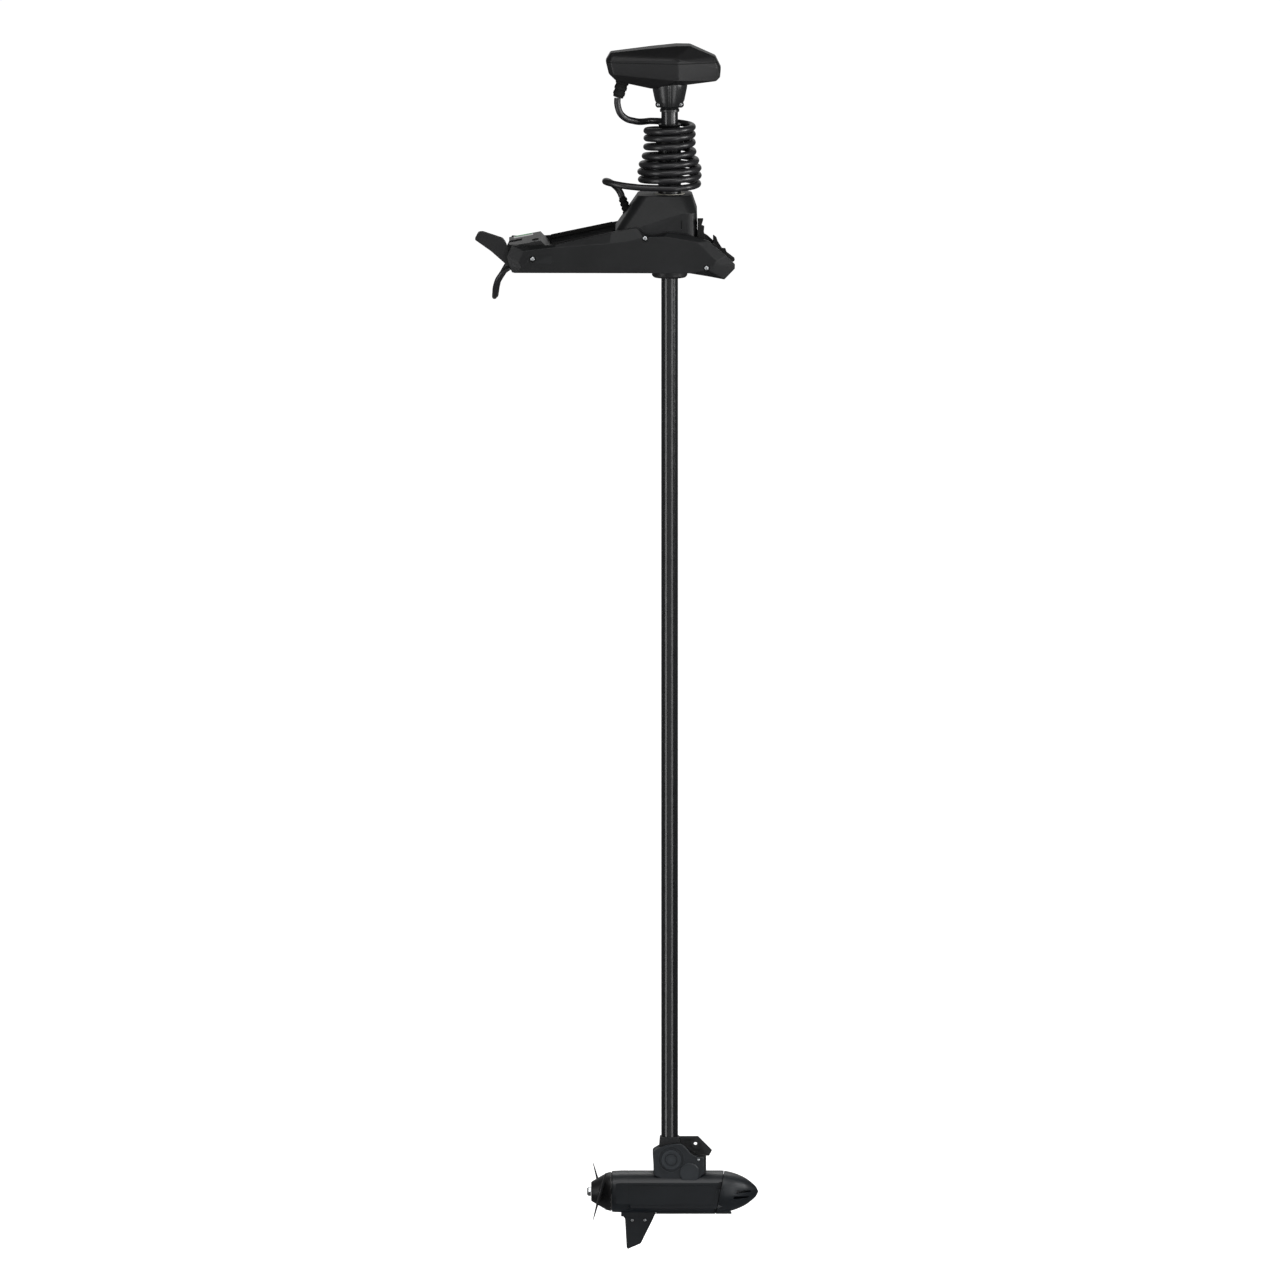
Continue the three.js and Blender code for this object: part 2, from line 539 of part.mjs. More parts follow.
// The nose seam leans: its top is further forward than its foot.
const seamAt = (offset) => prism('y', [
  [260 + offset, -1895], [450, -1895], [450, -1999], [239 + offset, -1999],
], -90, 90);
const REAR_SEAM = 60;
const aft = (x) => block([-100, x], [-90, 90], [MOTOR_Z - 90, MOTOR_Z + 90]);
const motorHollow = rod(onMotor(REAR_SEAM - 5), FORE, 36, 176, ROUND);
const shell = lowerUnit.add(keelBar).subtract(aft(REAR_SEAM + GAP));
piece('motor_housing', shell.subtract(seamAt(0)).subtract(motorHollow), motorBlack);
const noseHollow = rod(onMotor(200), FORE, 26, 70, ROUND);
const nose = shell.intersect(seamAt(1.6)).subtract(noseHollow);
piece('motor_nose', nose, motorBlack);
const SHAFT_HOLE = 6.4;
const rearCap = lowerUnit.intersect(aft(REAR_SEAM)).subtract(rod(onMotor(0), FORE, SHAFT_HOLE, 90, 16));
piece('motor_rear_cap', rearCap.subtract(rod(onMotor(48), FORE, 16.3, 20, 16)), motorBlack);
piece('rear_bearing', ring(onMotor(50), FORE, SHAFT_HOLE, 16, 9.5, 16), brightSteel);
piece('front_bearing', ring(onMotor(214), FORE, SHAFT_HOLE, 16, 9.5, 16), brightSteel);
piece('magnet_ring', ring(onMotor(80), FORE, 29.5, 35.7, 115), magnetGrey);
piece('armature_core', ring(onMotor(88), FORE, 6.1, 28.8, 99), copper);
const armatureShaft = rod(onMotor(-14), FORE, 6, 240, 16);
const DRIVE_PIN_X = 2;
const pinSlot = rod([DRIVE_PIN_X, 0, MOTOR_Z - 20], UP, 2.8, 40);
piece('armature_shaft', armatureShaft.subtract(pinSlot), brightSteel);
piece('drive_pin', rod([DRIVE_PIN_X, 0, MOTOR_Z - 13], UP, 2.5, 26), brightSteel);

const skegOutline = [
  [43.5, -1990.5], [52.3, -2003], [55.6, -2063], [57.5, -2067], [85.3, -2055], [110, -2005], [116.5, -1990.5],
];
const skeg = prism('y', skegOutline, -4, 4);
const flangeOutline = [[44, -1980], [44, -1997], [115, -1997], [116.5, -1991], [116.5, -1980]];
const skegFlange = prism('y', flangeOutline, -12, 12);
piece('skeg', skeg.add(skegFlange).subtract(motorCut), motorBlack);

// ---------------------------------------------------------------- propeller

const hubProfile = [[0, -18.6], [19, -18.6], [21.5, -16], [31, 0], [39, 14], [41, 21.7], [41, 23.2], [0, 23.2]];
const SECTION = 10; // points round a blade's section
// How far out, how wide, how thick, and how far back the blade's middle is.
const BLADE = [
  [22, 46, 9, 0], [50, 84, 7.5, 0], [85, 104, 6, -1], [115, 98, 5, -2], [134, 72, 4, -3], [PROP_R, 30, 3, -3],
];
const BLADE_PITCH = THREE.MathUtils.degToRad(15);

function bladeSection([out, chord, thick, back], side) {
  return Array.from({ length: SECTION }, (_, i) => {
    const angle = (2 * Math.PI * i) / SECTION;
    const along = (chord / 2) * Math.cos(angle);
    const through = (thick / 2) * Math.sin(angle);
    const x = along * Math.sin(BLADE_PITCH) + through * Math.cos(BLADE_PITCH);
    const z = along * Math.cos(BLADE_PITCH) - through * Math.sin(BLADE_PITCH);
    return [x + back, side * out, MOTOR_Z - side * z];
  });
}
let propeller = turned(hubProfile, onMotor(0), FORE);
for (const side of [-1, 1]) {
  const sections = BLADE.map((row) => bladeSection(row, side));
  propeller = propeller.add(loft(sections, (p) => new THREE.Vector2(p[0], p[2])));
}
const hubBore = rod(onMotor(-30), FORE, SHAFT_HOLE, 60, 16);
const pinWay = rod([DRIVE_PIN_X, 0, MOTOR_Z - 13.5], UP, 2.8, 27);
const pinEntry = block([-30, DRIVE_PIN_X], [-2.8, 2.8], [MOTOR_Z - 13.5, MOTOR_Z + 13.5]);
piece('propeller', propeller.subtract(hubBore).subtract(pinWay).subtract(pinEntry), bladeBlack);
const nutProfile = [[0, -27], [8, -27], [10.5, -24], [10.5, -19], [0, -19]];
piece('propeller_nut', turned(nutProfile, onMotor(0), FORE, 6), brightSteel);

// ---------------------------------------------------------------- power cable

const along = (from, way, distance) => from.map((v, i) => v + way[i] * distance);
const GLAND_LENGTH = 27;
const cableGland = turned(ribbed(9.2, 8.7, GLAND_LENGTH, 3), GLAND_START, GLAND_WAY, 16);
piece('power_cable_gland', cableGland, rubberBlack);
const cableRoute = [
  along(GLAND_START, GLAND_WAY, GLAND_LENGTH + 1),
  [-199, -20, -3.8], [-206.5, -19, -11.5], [-213, -15, -24], [-217, -6, -40], [-219, 8, -54],
  [-219.5, 26, -62.5], [-219, 46, -65], [-218, 66, -60], [-215, 85, -49], [-209, 101, -35],
  [-200, 111, -20], [-189, 116.5, -4.5], [-173, 118.5, 5], [-155, 117, 7.8], [-140, 114.5, 7.5],
  [-124.5, 113, 7.3],
];
piece('power_cable', tube(cableRoute, POWER_CORD_R, 26), cordBlack);
function stadium({ x, y, r }) {
  const ends = [[x[1] - r, -Math.PI / 2], [x[0] + r, Math.PI / 2]];
  return ends.flatMap(([cx, start]) => Array.from({ length: 9 }, (_, i) => {
    const angle = start + (Math.PI * i) / 8;
    return [cx + r * Math.cos(angle), y + r * Math.sin(angle)];
  }));
}
piece('power_cable_hank', prism('z', stadium(HANK), GAP, HANK.height), cordBlack);
const plugProfile = [[0, 66], [7.5, 66], [9.5, 80], [13, 82], [13, 111], [11.5, 113], [11.5, 133], [0, 133]];
piece('power_plug', turned(plugProfile, [0, HANK.y - HANK.r + POWER_CORD_R, 13.4], FORE, 16), plasticBlack);

export default group;
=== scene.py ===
"""The looks of the trolling motor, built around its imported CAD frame.

Shapes are written in millimetres, in the frame's own axes, and made into meshes in metres.
A shape is a pair: its points, and its faces as tuples of point numbers.
"""
import json
import math

import bmesh
import bpy
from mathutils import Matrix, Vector


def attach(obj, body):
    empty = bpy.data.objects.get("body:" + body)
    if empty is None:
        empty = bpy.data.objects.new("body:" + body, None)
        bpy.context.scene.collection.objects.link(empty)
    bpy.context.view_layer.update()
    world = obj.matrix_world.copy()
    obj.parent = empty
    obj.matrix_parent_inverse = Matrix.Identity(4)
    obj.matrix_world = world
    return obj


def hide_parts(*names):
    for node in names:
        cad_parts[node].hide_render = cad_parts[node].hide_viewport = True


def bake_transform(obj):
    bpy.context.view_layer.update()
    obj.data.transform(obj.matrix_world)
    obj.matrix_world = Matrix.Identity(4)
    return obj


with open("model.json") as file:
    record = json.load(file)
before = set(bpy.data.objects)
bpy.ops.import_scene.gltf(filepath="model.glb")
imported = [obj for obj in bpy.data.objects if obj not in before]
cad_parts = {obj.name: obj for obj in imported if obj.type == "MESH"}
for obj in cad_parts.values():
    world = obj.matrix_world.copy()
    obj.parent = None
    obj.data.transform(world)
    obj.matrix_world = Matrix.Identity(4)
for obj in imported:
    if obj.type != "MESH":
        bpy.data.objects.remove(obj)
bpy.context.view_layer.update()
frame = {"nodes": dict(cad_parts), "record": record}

METRE = 1000.0
ROUND = 96  # sides of a large round piece
SMALL = 32  # sides of a small round piece
GAP = 0.3
UP = (0, 0, 1)
FORE = (1, 0, 0)
PORT = (0, 1, 0)

# Dimensions that the frame also has
PLATE_OUT, BEVEL_IN, PLATE_IN = 98, 88, 80
PIVOT = (66, 80)
AXLE_R = 7.7
SHAFT_X, SHAFT_R, SHAFT_BORE = 145.5, 17.5, 15.5
SHAFT_TOP, SHAFT_FOOT = 396, -1893
SLEEVE_R = 24
COIL_CORD_R, POWER_CORD_R = 7, 7
MOTOR_Z, MOTOR_R, MOTOR_FLAT = -1945.5, 44, 38
SCREWS = [(-141, 29), (94.3, 72.6), (222.6, 10)]
HANK_Y, HANK_X, HANK_R = 155, (-88, 28), 42
HEAD_SEAM = 434

BODY_OF = {node: body for body, nodes in frame["record"]["behaviour"]["bodies"].items() for node in nodes}


# ---------------------------------------------------------------- shapes

def on_shaft(z):
    return (SHAFT_X, 0, z)


def on_motor(x):
    return (x, 0, MOTOR_Z)


def catmull(rows, steps):
    """Rows of numbers with a smooth run of steps between each two."""
    rows = [Vector(row) for row in rows]
    ends = [2 * rows[0] - rows[1], *rows, 2 * rows[-1] - rows[-2]]
    out = []
    for i in range(1, len(ends) - 2):
        a, b, c, d = ends[i - 1:i + 3]
        for k in range(steps):
            t = k / steps
            out.append(0.5 * ((2 * b) + (c - a) * t + (2 * a - 5 * b + 4 * c - d) * t * t
                              + (3 * b - a - 3 * c + d) * t ** 3))
    return [*out, rows[-1]]


def evenly(points, gap):
    """Points along a line of points, a gap apart."""
    points = [Vector(p) for p in points]
    reach = [0.0]
    for a, b in zip(points, points[1:]):
        reach.append(reach[-1] + (b - a).length)
    count = max(2, round(reach[-1] / gap))
    out = []
    k = 0
    for i in range(count + 1):
        want = reach[-1] * i / count
        while k < len(points) - 2 and reach[k + 1] < want:
            k += 1
        share = (want - reach[k]) / max(reach[k + 1] - reach[k], 1e-9)
        out.append(points[k].lerp(points[k + 1], min(1.0, share)))
    return out


def skin(rings, closed=False):
    """A skin over rings of equal length, each a list of points, with both ends capped unless it is closed."""
    n = len(rings[0])
    points = [tuple(p) for ring in rings for p in ring]
    faces = []
    last = len(rings) if closed else len(rings) - 1
    for s in range(last):
        low, high = s * n, ((s + 1) % len(rings)) * n
        faces += [(low + i, low + (i + 1) % n, high + (i + 1) % n, high + i) for i in range(n)]
    if not closed:
        faces += [tuple(range(n)), tuple(range((len(rings) - 1) * n, len(rings) * n))]
    return points, faces


PLACE = {
    "x": lambda a, b, c: (c, a, b),
    "y": lambda a, b, c: (a, c, b),
    "z": lambda a, b, c: (a, b, c),
}


def prism(axis, outline, low, high):
    return skin([[PLACE[axis](a, b, c) for a, b in outline] for c in (low, high)])


def block(x, y, z):
    return prism("z", [(x[0], y[0]), (x[1], y[0]), (x[1], y[1]), (x[0], y[1])], *z)


def turned(profile, start, way, sides=ROUND, swell=None):
    """A profile of (radius, distance) turned about a line; swell(angle, distance) scales a radius."""
    way = Vector(way).normalized()
    first = Vector(FORE) if abs(way.x) < 0.9 else Vector(PORT)
    first = (first - first.dot(way) * way).normalized()
    second = way.cross(first)
    closed = profile[0] == profile[-1]
    points, rings = [], []
    for r, d in profile[:-1] if closed else profile:
        centre = Vector(start) + way * d
        if r == 0:
            rings.append([len(points)] * sides)
            points.append(tuple(centre))
            continue
        rings.append(list(range(len(points), len(points) + sides)))
        for i in range(sides):
            angle = 2 * math.pi * i / sides
            reach = r * swell(angle, d) if swell else r
            points.append(tuple(centre + reach * (math.cos(angle) * first + math.sin(angle) * second)))
    pairs = list(zip(rings, rings[1:])) + ([(rings[-1], rings[0])] if closed else [])
    faces = []
    for low, high in pairs:
        for i in range(sides):
            j = (i + 1) % sides
            face = tuple(dict.fromkeys((low[i], low[j], high[j], high[i])))
            if len(face) > 2:
                faces.append(face)
    return points, faces


def rod(start, way, radius, length, sides=SMALL):
    return turned([(0, 0), (radius, 0), (radius, length), (0, length)], start, way, sides)


def ring(start, way, inner, outer, length, sides=ROUND):
    return turned([(inner, 0), (outer, 0), (outer, length), (inner, length), (inner, 0)], start, way, sides)


def tube(path, section_at):
    """A section of (across, up) points, given for each step, carried along a path without twisting."""
    ways = [(b - a).normalized() for a, b in zip(path, path[1:])]
    ways = [ways[0], *[(a + b).normalized() for a, b in zip(ways, ways[1:])], ways[-1]]
    side = ways[0].orthogonal().normalized()
    rings = []
    for step, (p, way) in enumerate(zip(path, ways)):
        side = (side - side.dot(way) * way).normalized()
        rise = way.cross(side)
        rings.append([p + a * side + b * rise for a, b in section_at(step)])
    return skin(rings)


def circle(radius, sides):
    angles = [2 * math.pi * i / sides for i in range(sides)]
    return [(radius * math.cos(a), radius * math.sin(a)) for a in angles]


def round_corners(outline, radius, steps=5):
    """An outline with each corner swept into a short curve."""
    out = []
    n = len(outline)
    for i in range(n):
        before, here, after = (Vector(outline[(i + k) % n]) for k in (-1, 0, 1))
        reach = min(radius, (before - here).length * 0.45, (after - here).length * 0.45)
        start = here + (before - here).normalized() * reach
        end = here + (after - here).normalized() * reach
        for k in range(steps + 1):
            t = k / steps
            out.append(tuple((1 - t) ** 2 * start + 2 * t * (1 - t) * here + t * t * end))
    return out


def across(side, low, high):
    return (-high, -low) if side < 0 else (low, high)


# ---------------------------------------------------------------- meshes

def tidied(bm, angle):
    bmesh.ops.remove_doubles(bm, verts=bm.verts, dist=2e-6)
    bmesh.ops.dissolve_limit(bm, angle_limit=math.radians(angle), verts=bm.verts, edges=bm.edges)
    bmesh.ops.recalc_face_normals(bm, faces=bm.faces)


def make(name, shape):
    points, faces = shape
    mesh = bpy.data.meshes.new(name)
    mesh.from_pydata([tuple(v / METRE for v in p) for p in points], [], faces)
    bm = bmesh.new()
    bm.from_mesh(mesh)
    bmesh.ops.recalc_face_normals(bm, faces=bm.faces)
    bm.to_mesh(mesh)
    bm.free()
    obj = bpy.data.objects.new(name, mesh)
    bpy.context.scene.collection.objects.link(obj)
    return obj


def hull(name, points):
    obj = make(name, (points, []))
    bm = bmesh.new()
    bm.from_mesh(obj.data)
    bmesh.ops.convex_hull(bm, input=bm.verts)
    loose = [v for v in bm.verts if not v.link_faces]
    bmesh.ops.delete(bm, geom=loose, context="VERTS")
    tidied(bm, 1.5)
    bm.to_mesh(obj.data)
    bm.free()
    return obj


def settle(obj):
    """Makes the object's modifiers part of its mesh."""
    graph = bpy.context.evaluated_depsgraph_get()
    mesh = bpy.data.meshes.new_from_object(obj.evaluated_get(graph))
    obj.modifiers.clear()
    obj.data = mesh
    return obj


def combine(obj, operation, *others):
    """A boolean with each of the others, which are shapes or objects that aren't needed afterwards."""
    for other in others:
        tool = make("tool", other) if isinstance(other, tuple) else other
        modifier = obj.modifiers.new("boolean", "BOOLEAN")
        modifier.operation = operation
        modifier.solver = "EXACT"
        modifier.object = tool
        settle(obj)
        bpy.data.objects.remove(tool)
    return obj


def cut(obj, *others):
    return combine(obj, "DIFFERENCE", *others)


def add(obj, *others):
    return combine(obj, "UNION", *others)


def keep(obj, *others):
    return combine(obj, "INTERSECT", *others)


def rounded(obj, width, segments=2, angle=25):
    """Bevels the edges that are sharper than an angle."""
    bm = bmesh.new()
    bm.from_mesh(obj.data)
    tidied(bm, 0.4)
    bm.to_mesh(obj.data)
    bm.free()
    modifier = obj.modifiers.new("bevel", "BEVEL")
    modifier.width = width / METRE
    modifier.segments = segments
    modifier.limit_method = "ANGLE"
    modifier.angle_limit = math.radians(angle)
    modifier.miter_outer = "MITER_ARC"
    return settle(obj)


def softened(node, width=0.8):
    """A copy of a CAD node with its edges rounded."""
    obj = bpy.data.objects.new(node + "_fine", frame["nodes"][node].data.copy())
    obj.data.materials.clear()
    bpy.context.scene.collection.objects.link(obj)
    return rounded(obj, width)


def shade(obj, angle=40):
    mesh = obj.data
    mesh.shade_smooth()
    mesh.set_sharp_from_angle(angle=math.radians(angle))
    modifier = obj.modifiers.new("normals", "WEIGHTED_NORMAL")
    modifier.keep_sharp = True
    return settle(obj)


def place(obj, finish, *nodes, body=None, angle=40):
    """Gives a piece its material, and has it stand for its nodes and ride on their body."""
    shade(obj, angle)
    obj.data.materials.clear()
    obj.data.materials.append(MATERIALS[finish])
    if nodes:
        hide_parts(*nodes)
    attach(obj, body or BODY_OF[nodes[0]])
    return obj


# ---------------------------------------------------------------- materials

def linear(code):
    parts = [int(code[i:i + 2], 16) / 255 for i in (0, 2, 4)]
    return tuple(c / 12.92 if c <= 0.04045 else ((c + 0.055) / 1.055) ** 2.4 for c in parts)


def mix_colours(nodes, links, factor, first, second):
    """A mix of two colours, each a number triple or another node's output."""
    node = nodes.new("ShaderNodeMix")
    node.data_type = "RGBA"
    sockets = [s for s in node.inputs if s.enabled]
    links.new(factor, sockets[0])
    for socket, colour in zip(sockets[1:], (first, second)):
        if isinstance(colour, tuple):
            socket.default_value = (*colour, 1)
        else:
            links.new(colour, socket)
    return next(s for s in node.outputs if s.enabled)


def material(name, dark, light, rough, metal=0.0, specular=0.2, grain=900.0, bump=0.2, blotch=9.0,
             stretch=(1, 1, 1), worn=None, coat=0.0, glow=0.0):
    """A moulded, cast or drawn surface: two tones in soft blotches, a fine grain, and pale edges if worn."""
    made = bpy.data.materials.new(name)
    made.use_nodes = True
    nodes, links = made.node_tree.nodes, made.node_tree.links
    shader = nodes["Principled BSDF"]
    shader.inputs["Metallic"].default_value = metal
    shader.inputs["Specular IOR Level"].default_value = specular
    shader.inputs["Coat Weight"].default_value = coat
    shader.inputs["Coat Roughness"].default_value = 0.12
    where = nodes.new("ShaderNodeTexCoord")
    scaled = nodes.new("ShaderNodeMapping")
    scaled.inputs["Scale"].default_value = stretch
    links.new(where.outputs["Object"], scaled.inputs["Vector"])

    def noise(scale, detail):
        node = nodes.new("ShaderNodeTexNoise")
        node.inputs["Scale"].default_value = scale
        node.inputs["Detail"].default_value = detail
        links.new(scaled.outputs["Vector"], node.inputs["Vector"])
        return node.outputs["Fac"]

    def spread(value, low, high, start=0.3, end=0.7):
        node = nodes.new("ShaderNodeMapRange")
        for key, number in (("From Min", start), ("From Max", end), ("To Min", low), ("To Max", high)):
            node.inputs[key].default_value = number
        links.new(value, node.inputs["Value"])
        return node.outputs["Result"]

    blotches = noise(blotch, 5)
    grains = noise(grain, 3)
    colour = mix_colours(nodes, links, spread(blotches, 0, 1), linear(dark), linear(light))
    if worn:
        geometry = nodes.new("ShaderNodeNewGeometry")
        edge = spread(geometry.outputs["Pointiness"], 0, 0.65, 0.53, 0.62)
        colour = mix_colours(nodes, links, edge, colour, linear(worn))
    links.new(colour, shader.inputs["Base Color"])
    links.new(spread(grains, rough - 0.07, rough + 0.07), shader.inputs["Roughness"])
    if glow:
        links.new(colour, shader.inputs["Emission Color"])
        shader.inputs["Emission Strength"].default_value = glow
    bumps = nodes.new("ShaderNodeBump")
    bumps.inputs["Strength"].default_value = bump
    bumps.inputs["Distance"].default_value = 0.0004
    links.new(grains, bumps.inputs["Height"])
    links.new(bumps.outputs["Normal"], shader.inputs["Normal"])
    return made


# Finish: dark tone, light tone, roughness, and what else sets it apart.
FINISHES = {
    "cast": ("0b0c0d", "131415", 0.46, dict(metal=0.05, specular=0.3, grain=1400, bump=0.25, worn="2b2c2e")),
    "plastic": ("0b0b0c", "121213", 0.42, dict(specular=0.32, grain=1100, bump=0.18, worn="262728")),
    "gloss": ("0d0e0f", "151617", 0.3, dict(specular=0.5, grain=1100, bump=0.1, worn="262728")),
    "cover": ("121518", "1b1f23", 0.38, dict(specular=0.36, grain=1100, bump=0.15, worn="33373b")),
    "rubber": ("080808", "0f0f0f", 0.75, dict(specular=0.18, grain=700, bump=0.35, worn="1a1a1a")),
    "steel": ("b5b8ba", "d4d6d8", 0.28, dict(metal=1.0, grain=500, bump=0.08, stretch=(1, 1, 6))),
    "nylon": ("c9c6ba", "dcdad0", 0.5, dict(specular=0.4, grain=600, bump=0.15)),
    "shaft": ("07080a", "0c0d0f", 0.24, dict(specular=0.6, grain=900, bump=0.05, stretch=(1, 1, 0.08))),
    "motor": ("0b0d10", "12161a", 0.38, dict(metal=0.1, specular=0.36, grain=1300, bump=0.1)),
    "blade": ("080809", "0e0e0f", 0.4, dict(specular=0.3, grain=900, bump=0.12, worn="1d1d1e")),
    "cord": ("0e0e10", "171719", 0.34, dict(specular=0.5, grain=800, bump=0.12)),
    "copper": ("8f4d28", "b8703f", 0.35, dict(metal=1.0, grain=400, bump=0.2)),
    "magnet": ("2f2f33", "444448", 0.5, dict(metal=0.5, grain=600, bump=0.2)),
    "board": ("174a2b", "22663c", 0.5, dict(specular=0.4, grain=1500, bump=0.2)),
    "lens": ("0c1712", "12241b", 0.12, dict(specular=0.6, grain=500, bump=0.02, coat=0.5)),
    "lamp": ("17803a", "2aa552", 0.3, dict(specular=0.4, grain=400, bump=0.05, glow=0.25)),
}
MATERIALS = {name: material(name, *plan[:3], **plan[3]) for name, plan in FINISHES.items()}
SLOTS = {name: name for name in FINISHES}
SLOTS.update(lamp="lens", gloss="plastic", cover="plastic")


# ---------------------------------------------------------------- camera, floor and light

def aim(obj, target):
    obj.rotation_euler = (Vector(target) - obj.location).to_track_quat("-Z", "Y").to_euler()


FRAME_CENTRE = Vector((0.0836, 0, -0.7846))
LOOK_DOWN = math.radians(7)
camera = bpy.data.objects.new("camera", bpy.data.cameras.new("camera"))
bpy.context.scene.collection.objects.link(camera)
camera.data.type = "ORTHO"
camera.data.ortho_scale = 2.675
camera.data.clip_end = 200
camera.location = FRAME_CENTRE + 9 * Vector((0, -math.cos(LOOK_DOWN), math.sin(LOOK_DOWN)))
aim(camera, FRAME_CENTRE)
bpy.context.scene.camera = camera
bpy.context.scene.view_settings.view_transform = "Standard"

FLOOR_Z = -2200
floor = make("studio_floor", block((-60000, 60000), (-60000, 60000), (FLOOR_Z - 20, FLOOR_Z)))
paint = material("floor_paint", "fafafa", "fdfdfd", 0.85, specular=0.1, grain=3, bump=0.02, blotch=0.4,
                 glow=0.95)
floor.data.materials.append(paint)
floor.visible_glossy = False

world = bpy.data.worlds.new("studio")
world.use_nodes = True
world.node_tree.nodes["Background"].inputs["Color"].default_value = (1, 1, 1, 1)
world.node_tree.nodes["Background"].inputs["Strength"].default_value = 0.12
bpy.context.scene.world = world


def softbox(name, place_at, target, size, radiance, spread=180):
    """An area light; a spread under 180 degrees keeps it to a beam, as bright along its middle."""
    light = bpy.data.lights.new(name, "AREA")
    light.shape = "RECTANGLE"
    light.size, light.size_y = size
    half = math.radians(spread / 2)
    light.spread = 2 * half
    light.energy = radiance * math.pi * size[0] * size[1] * (1 - half / math.tan(half))
    obj = bpy.data.objects.new(name, light)
    bpy.context.scene.collection.objects.link(obj)
    obj.location = place_at
    obj.visible_camera = False
    aim(obj, target)


softbox("front_fill", (0.1, -7.5, -0.4), (0.1, 0, -0.6), (8, 7), 0.36)
softbox("front_high", (0.1, -3.3, 3.0), (0.1, 0, 0), (4.4, 2.0), 2.8)
softbox("motor_high", (0.15, -0.6, -0.5), (0.15, 0, -1.95), (2.0, 0.4), 4.9, 56)
softbox("motor_back", (0.15, 0.9, -0.6), (0.15, 0, -1.95), (2.0, 0.4), 6.0, 56)
softbox("left_strip", (-3.0, -2.5, -0.8), (0.1455, 0, -0.8), (1.2, 4.4), 4.2)
softbox("right_strip", (2.45, -3.3, -0.8), (0.1455, 0, -0.8), (0.9, 4.4), 4.2)
softbox("right_side", (3.2, -1.2, 0.6), (0.15, 0, 0.25), (1.3, 1.8), 10)
softbox("back_glow", (0.1, 5, 1.2), (0.1, 0, -0.6), (5, 3), 0.5)


# ---------------------------------------------------------------- cords

# The coil cord: turns down from its first front strand, height, radius.
COIL = [
    (-0.62, 303, 60), (-0.5, 300, 50), (-0.25, 296, 48), (0, 291.5, 48), (1, 277, 48), (2, 259, 48),
    (3, 239, 50), (4, 221, 57), (5, 206, 61), (6, 190, 60), (7, 172, 59), (8, 158, 59),
]
HEAD_END = [(36.6, 0, 356.5), (36.4, 0, 344), (41.8, 2, 325), (55, 8, 312), (70, 16, 306.5), (84, 25, 303.5)]
TOWER_END = [
    (92.5, -50, 173.5), (72, -48, 175), (50, -43, 177), (31, -35, 179.5), (16, -22, 181.5), (11, -6, 182),
    (16, 10, 180), (27, 19, 173), (37, 23.5, 163), (43, 24, 153.5), (45.6, 24, 146.6),
]
COIL_START, COIL_END = -0.6, 6.9  # in turns down
SPLIT = 5.5  # turns down to where the cord's two pieces meet, at the back


def between(rows, key):
    """The row at a key, from rows that each start with their own key."""
    for low, high in zip(rows, rows[1:]):
        if key <= high[0]:
            share = (key - low[0]) / (high[0] - low[0])
            return [a + (b - a) * share for a, b in zip(low, high)]
    return rows[-1]


def coil_point(turns):
    _, height, radius = between(COIL, turns)
    angle = -2 * math.pi * (0.25 + turns)
    return Vector((SHAFT_X + radius * math.cos(angle), radius * math.sin(angle), height))


def coil_run(start, end):
    count = round((end - start) * 40)
    return [coil_point(start + (end - start) * i / count) for i in range(count + 1)]


def cord_piece(name, path, section_at, *nodes):
    obj = make(name, tube(path, section_at))
    shade(obj, 50)
    obj.data.materials.clear()
    obj.data.materials.append(MATERIALS["cord"])
    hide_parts(*nodes)
    return obj


CORD_SIDES = 20


def coil_section(step):
    return circle(COIL_CORD_R, CORD_SIDES)


upper_path = evenly([*catmull([*HEAD_END, coil_point(-0.62)], 8), *coil_run(COIL_START, SPLIT)], 5)
lower_path = evenly([*coil_run(SPLIT, COIL_END), *catmull([coil_point(6.97), *TOWER_END], 8)], 5)
upper_cord = cord_piece("coil_cord_upper", upper_path, coil_section, "coil_cord", "coil_cord_head_lead")
lower_cord = cord_piece("coil_cord_lower", lower_path, coil_section, "coil_cord_tower_lead")
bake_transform(upper_cord)
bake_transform(lower_cord)

# The power cable: two cores twisted in one jacket, from the gland to a hank on the deck.
GLAND_START = Vector((-167.5, -20, 17))
GLAND_WAY = Vector((-0.85, 0, -0.53)).normalized()
CABLE_ROUTE = [
    tuple(GLAND_START + GLAND_WAY * 28),
    (-199, -20, -3.8), (-206.5, -19, -11.5), (-213, -15, -24), (-217, -6, -40), (-219, 8, -54),
    (-219.5, 26, -62.5), (-219, 46, -65), (-218, 66, -60), (-215, 85, -49), (-209, 101, -35),
    (-200, 111, -20), (-189, 116.5, -4.5), (-173, 118.5, 5), (-155, 117, 7.8), (-140, 114.5, 7.5),
]
LOW, HIGH = 7.3, 21.3  # the heights of the hank's two layers


def fold(x, start, low, high):
    """Half a turn of the hank about an end, climbing from one layer's height to another."""
    out = []
    for i in range(19):
        angle = start + math.pi * i / 18
        climb = low + (high - low) * (0.5 - 0.5 * math.cos(math.pi * i / 18))
        out.append((x + HANK_R * math.cos(angle), HANK_Y + HANK_R * math.sin(angle), climb))
    return out


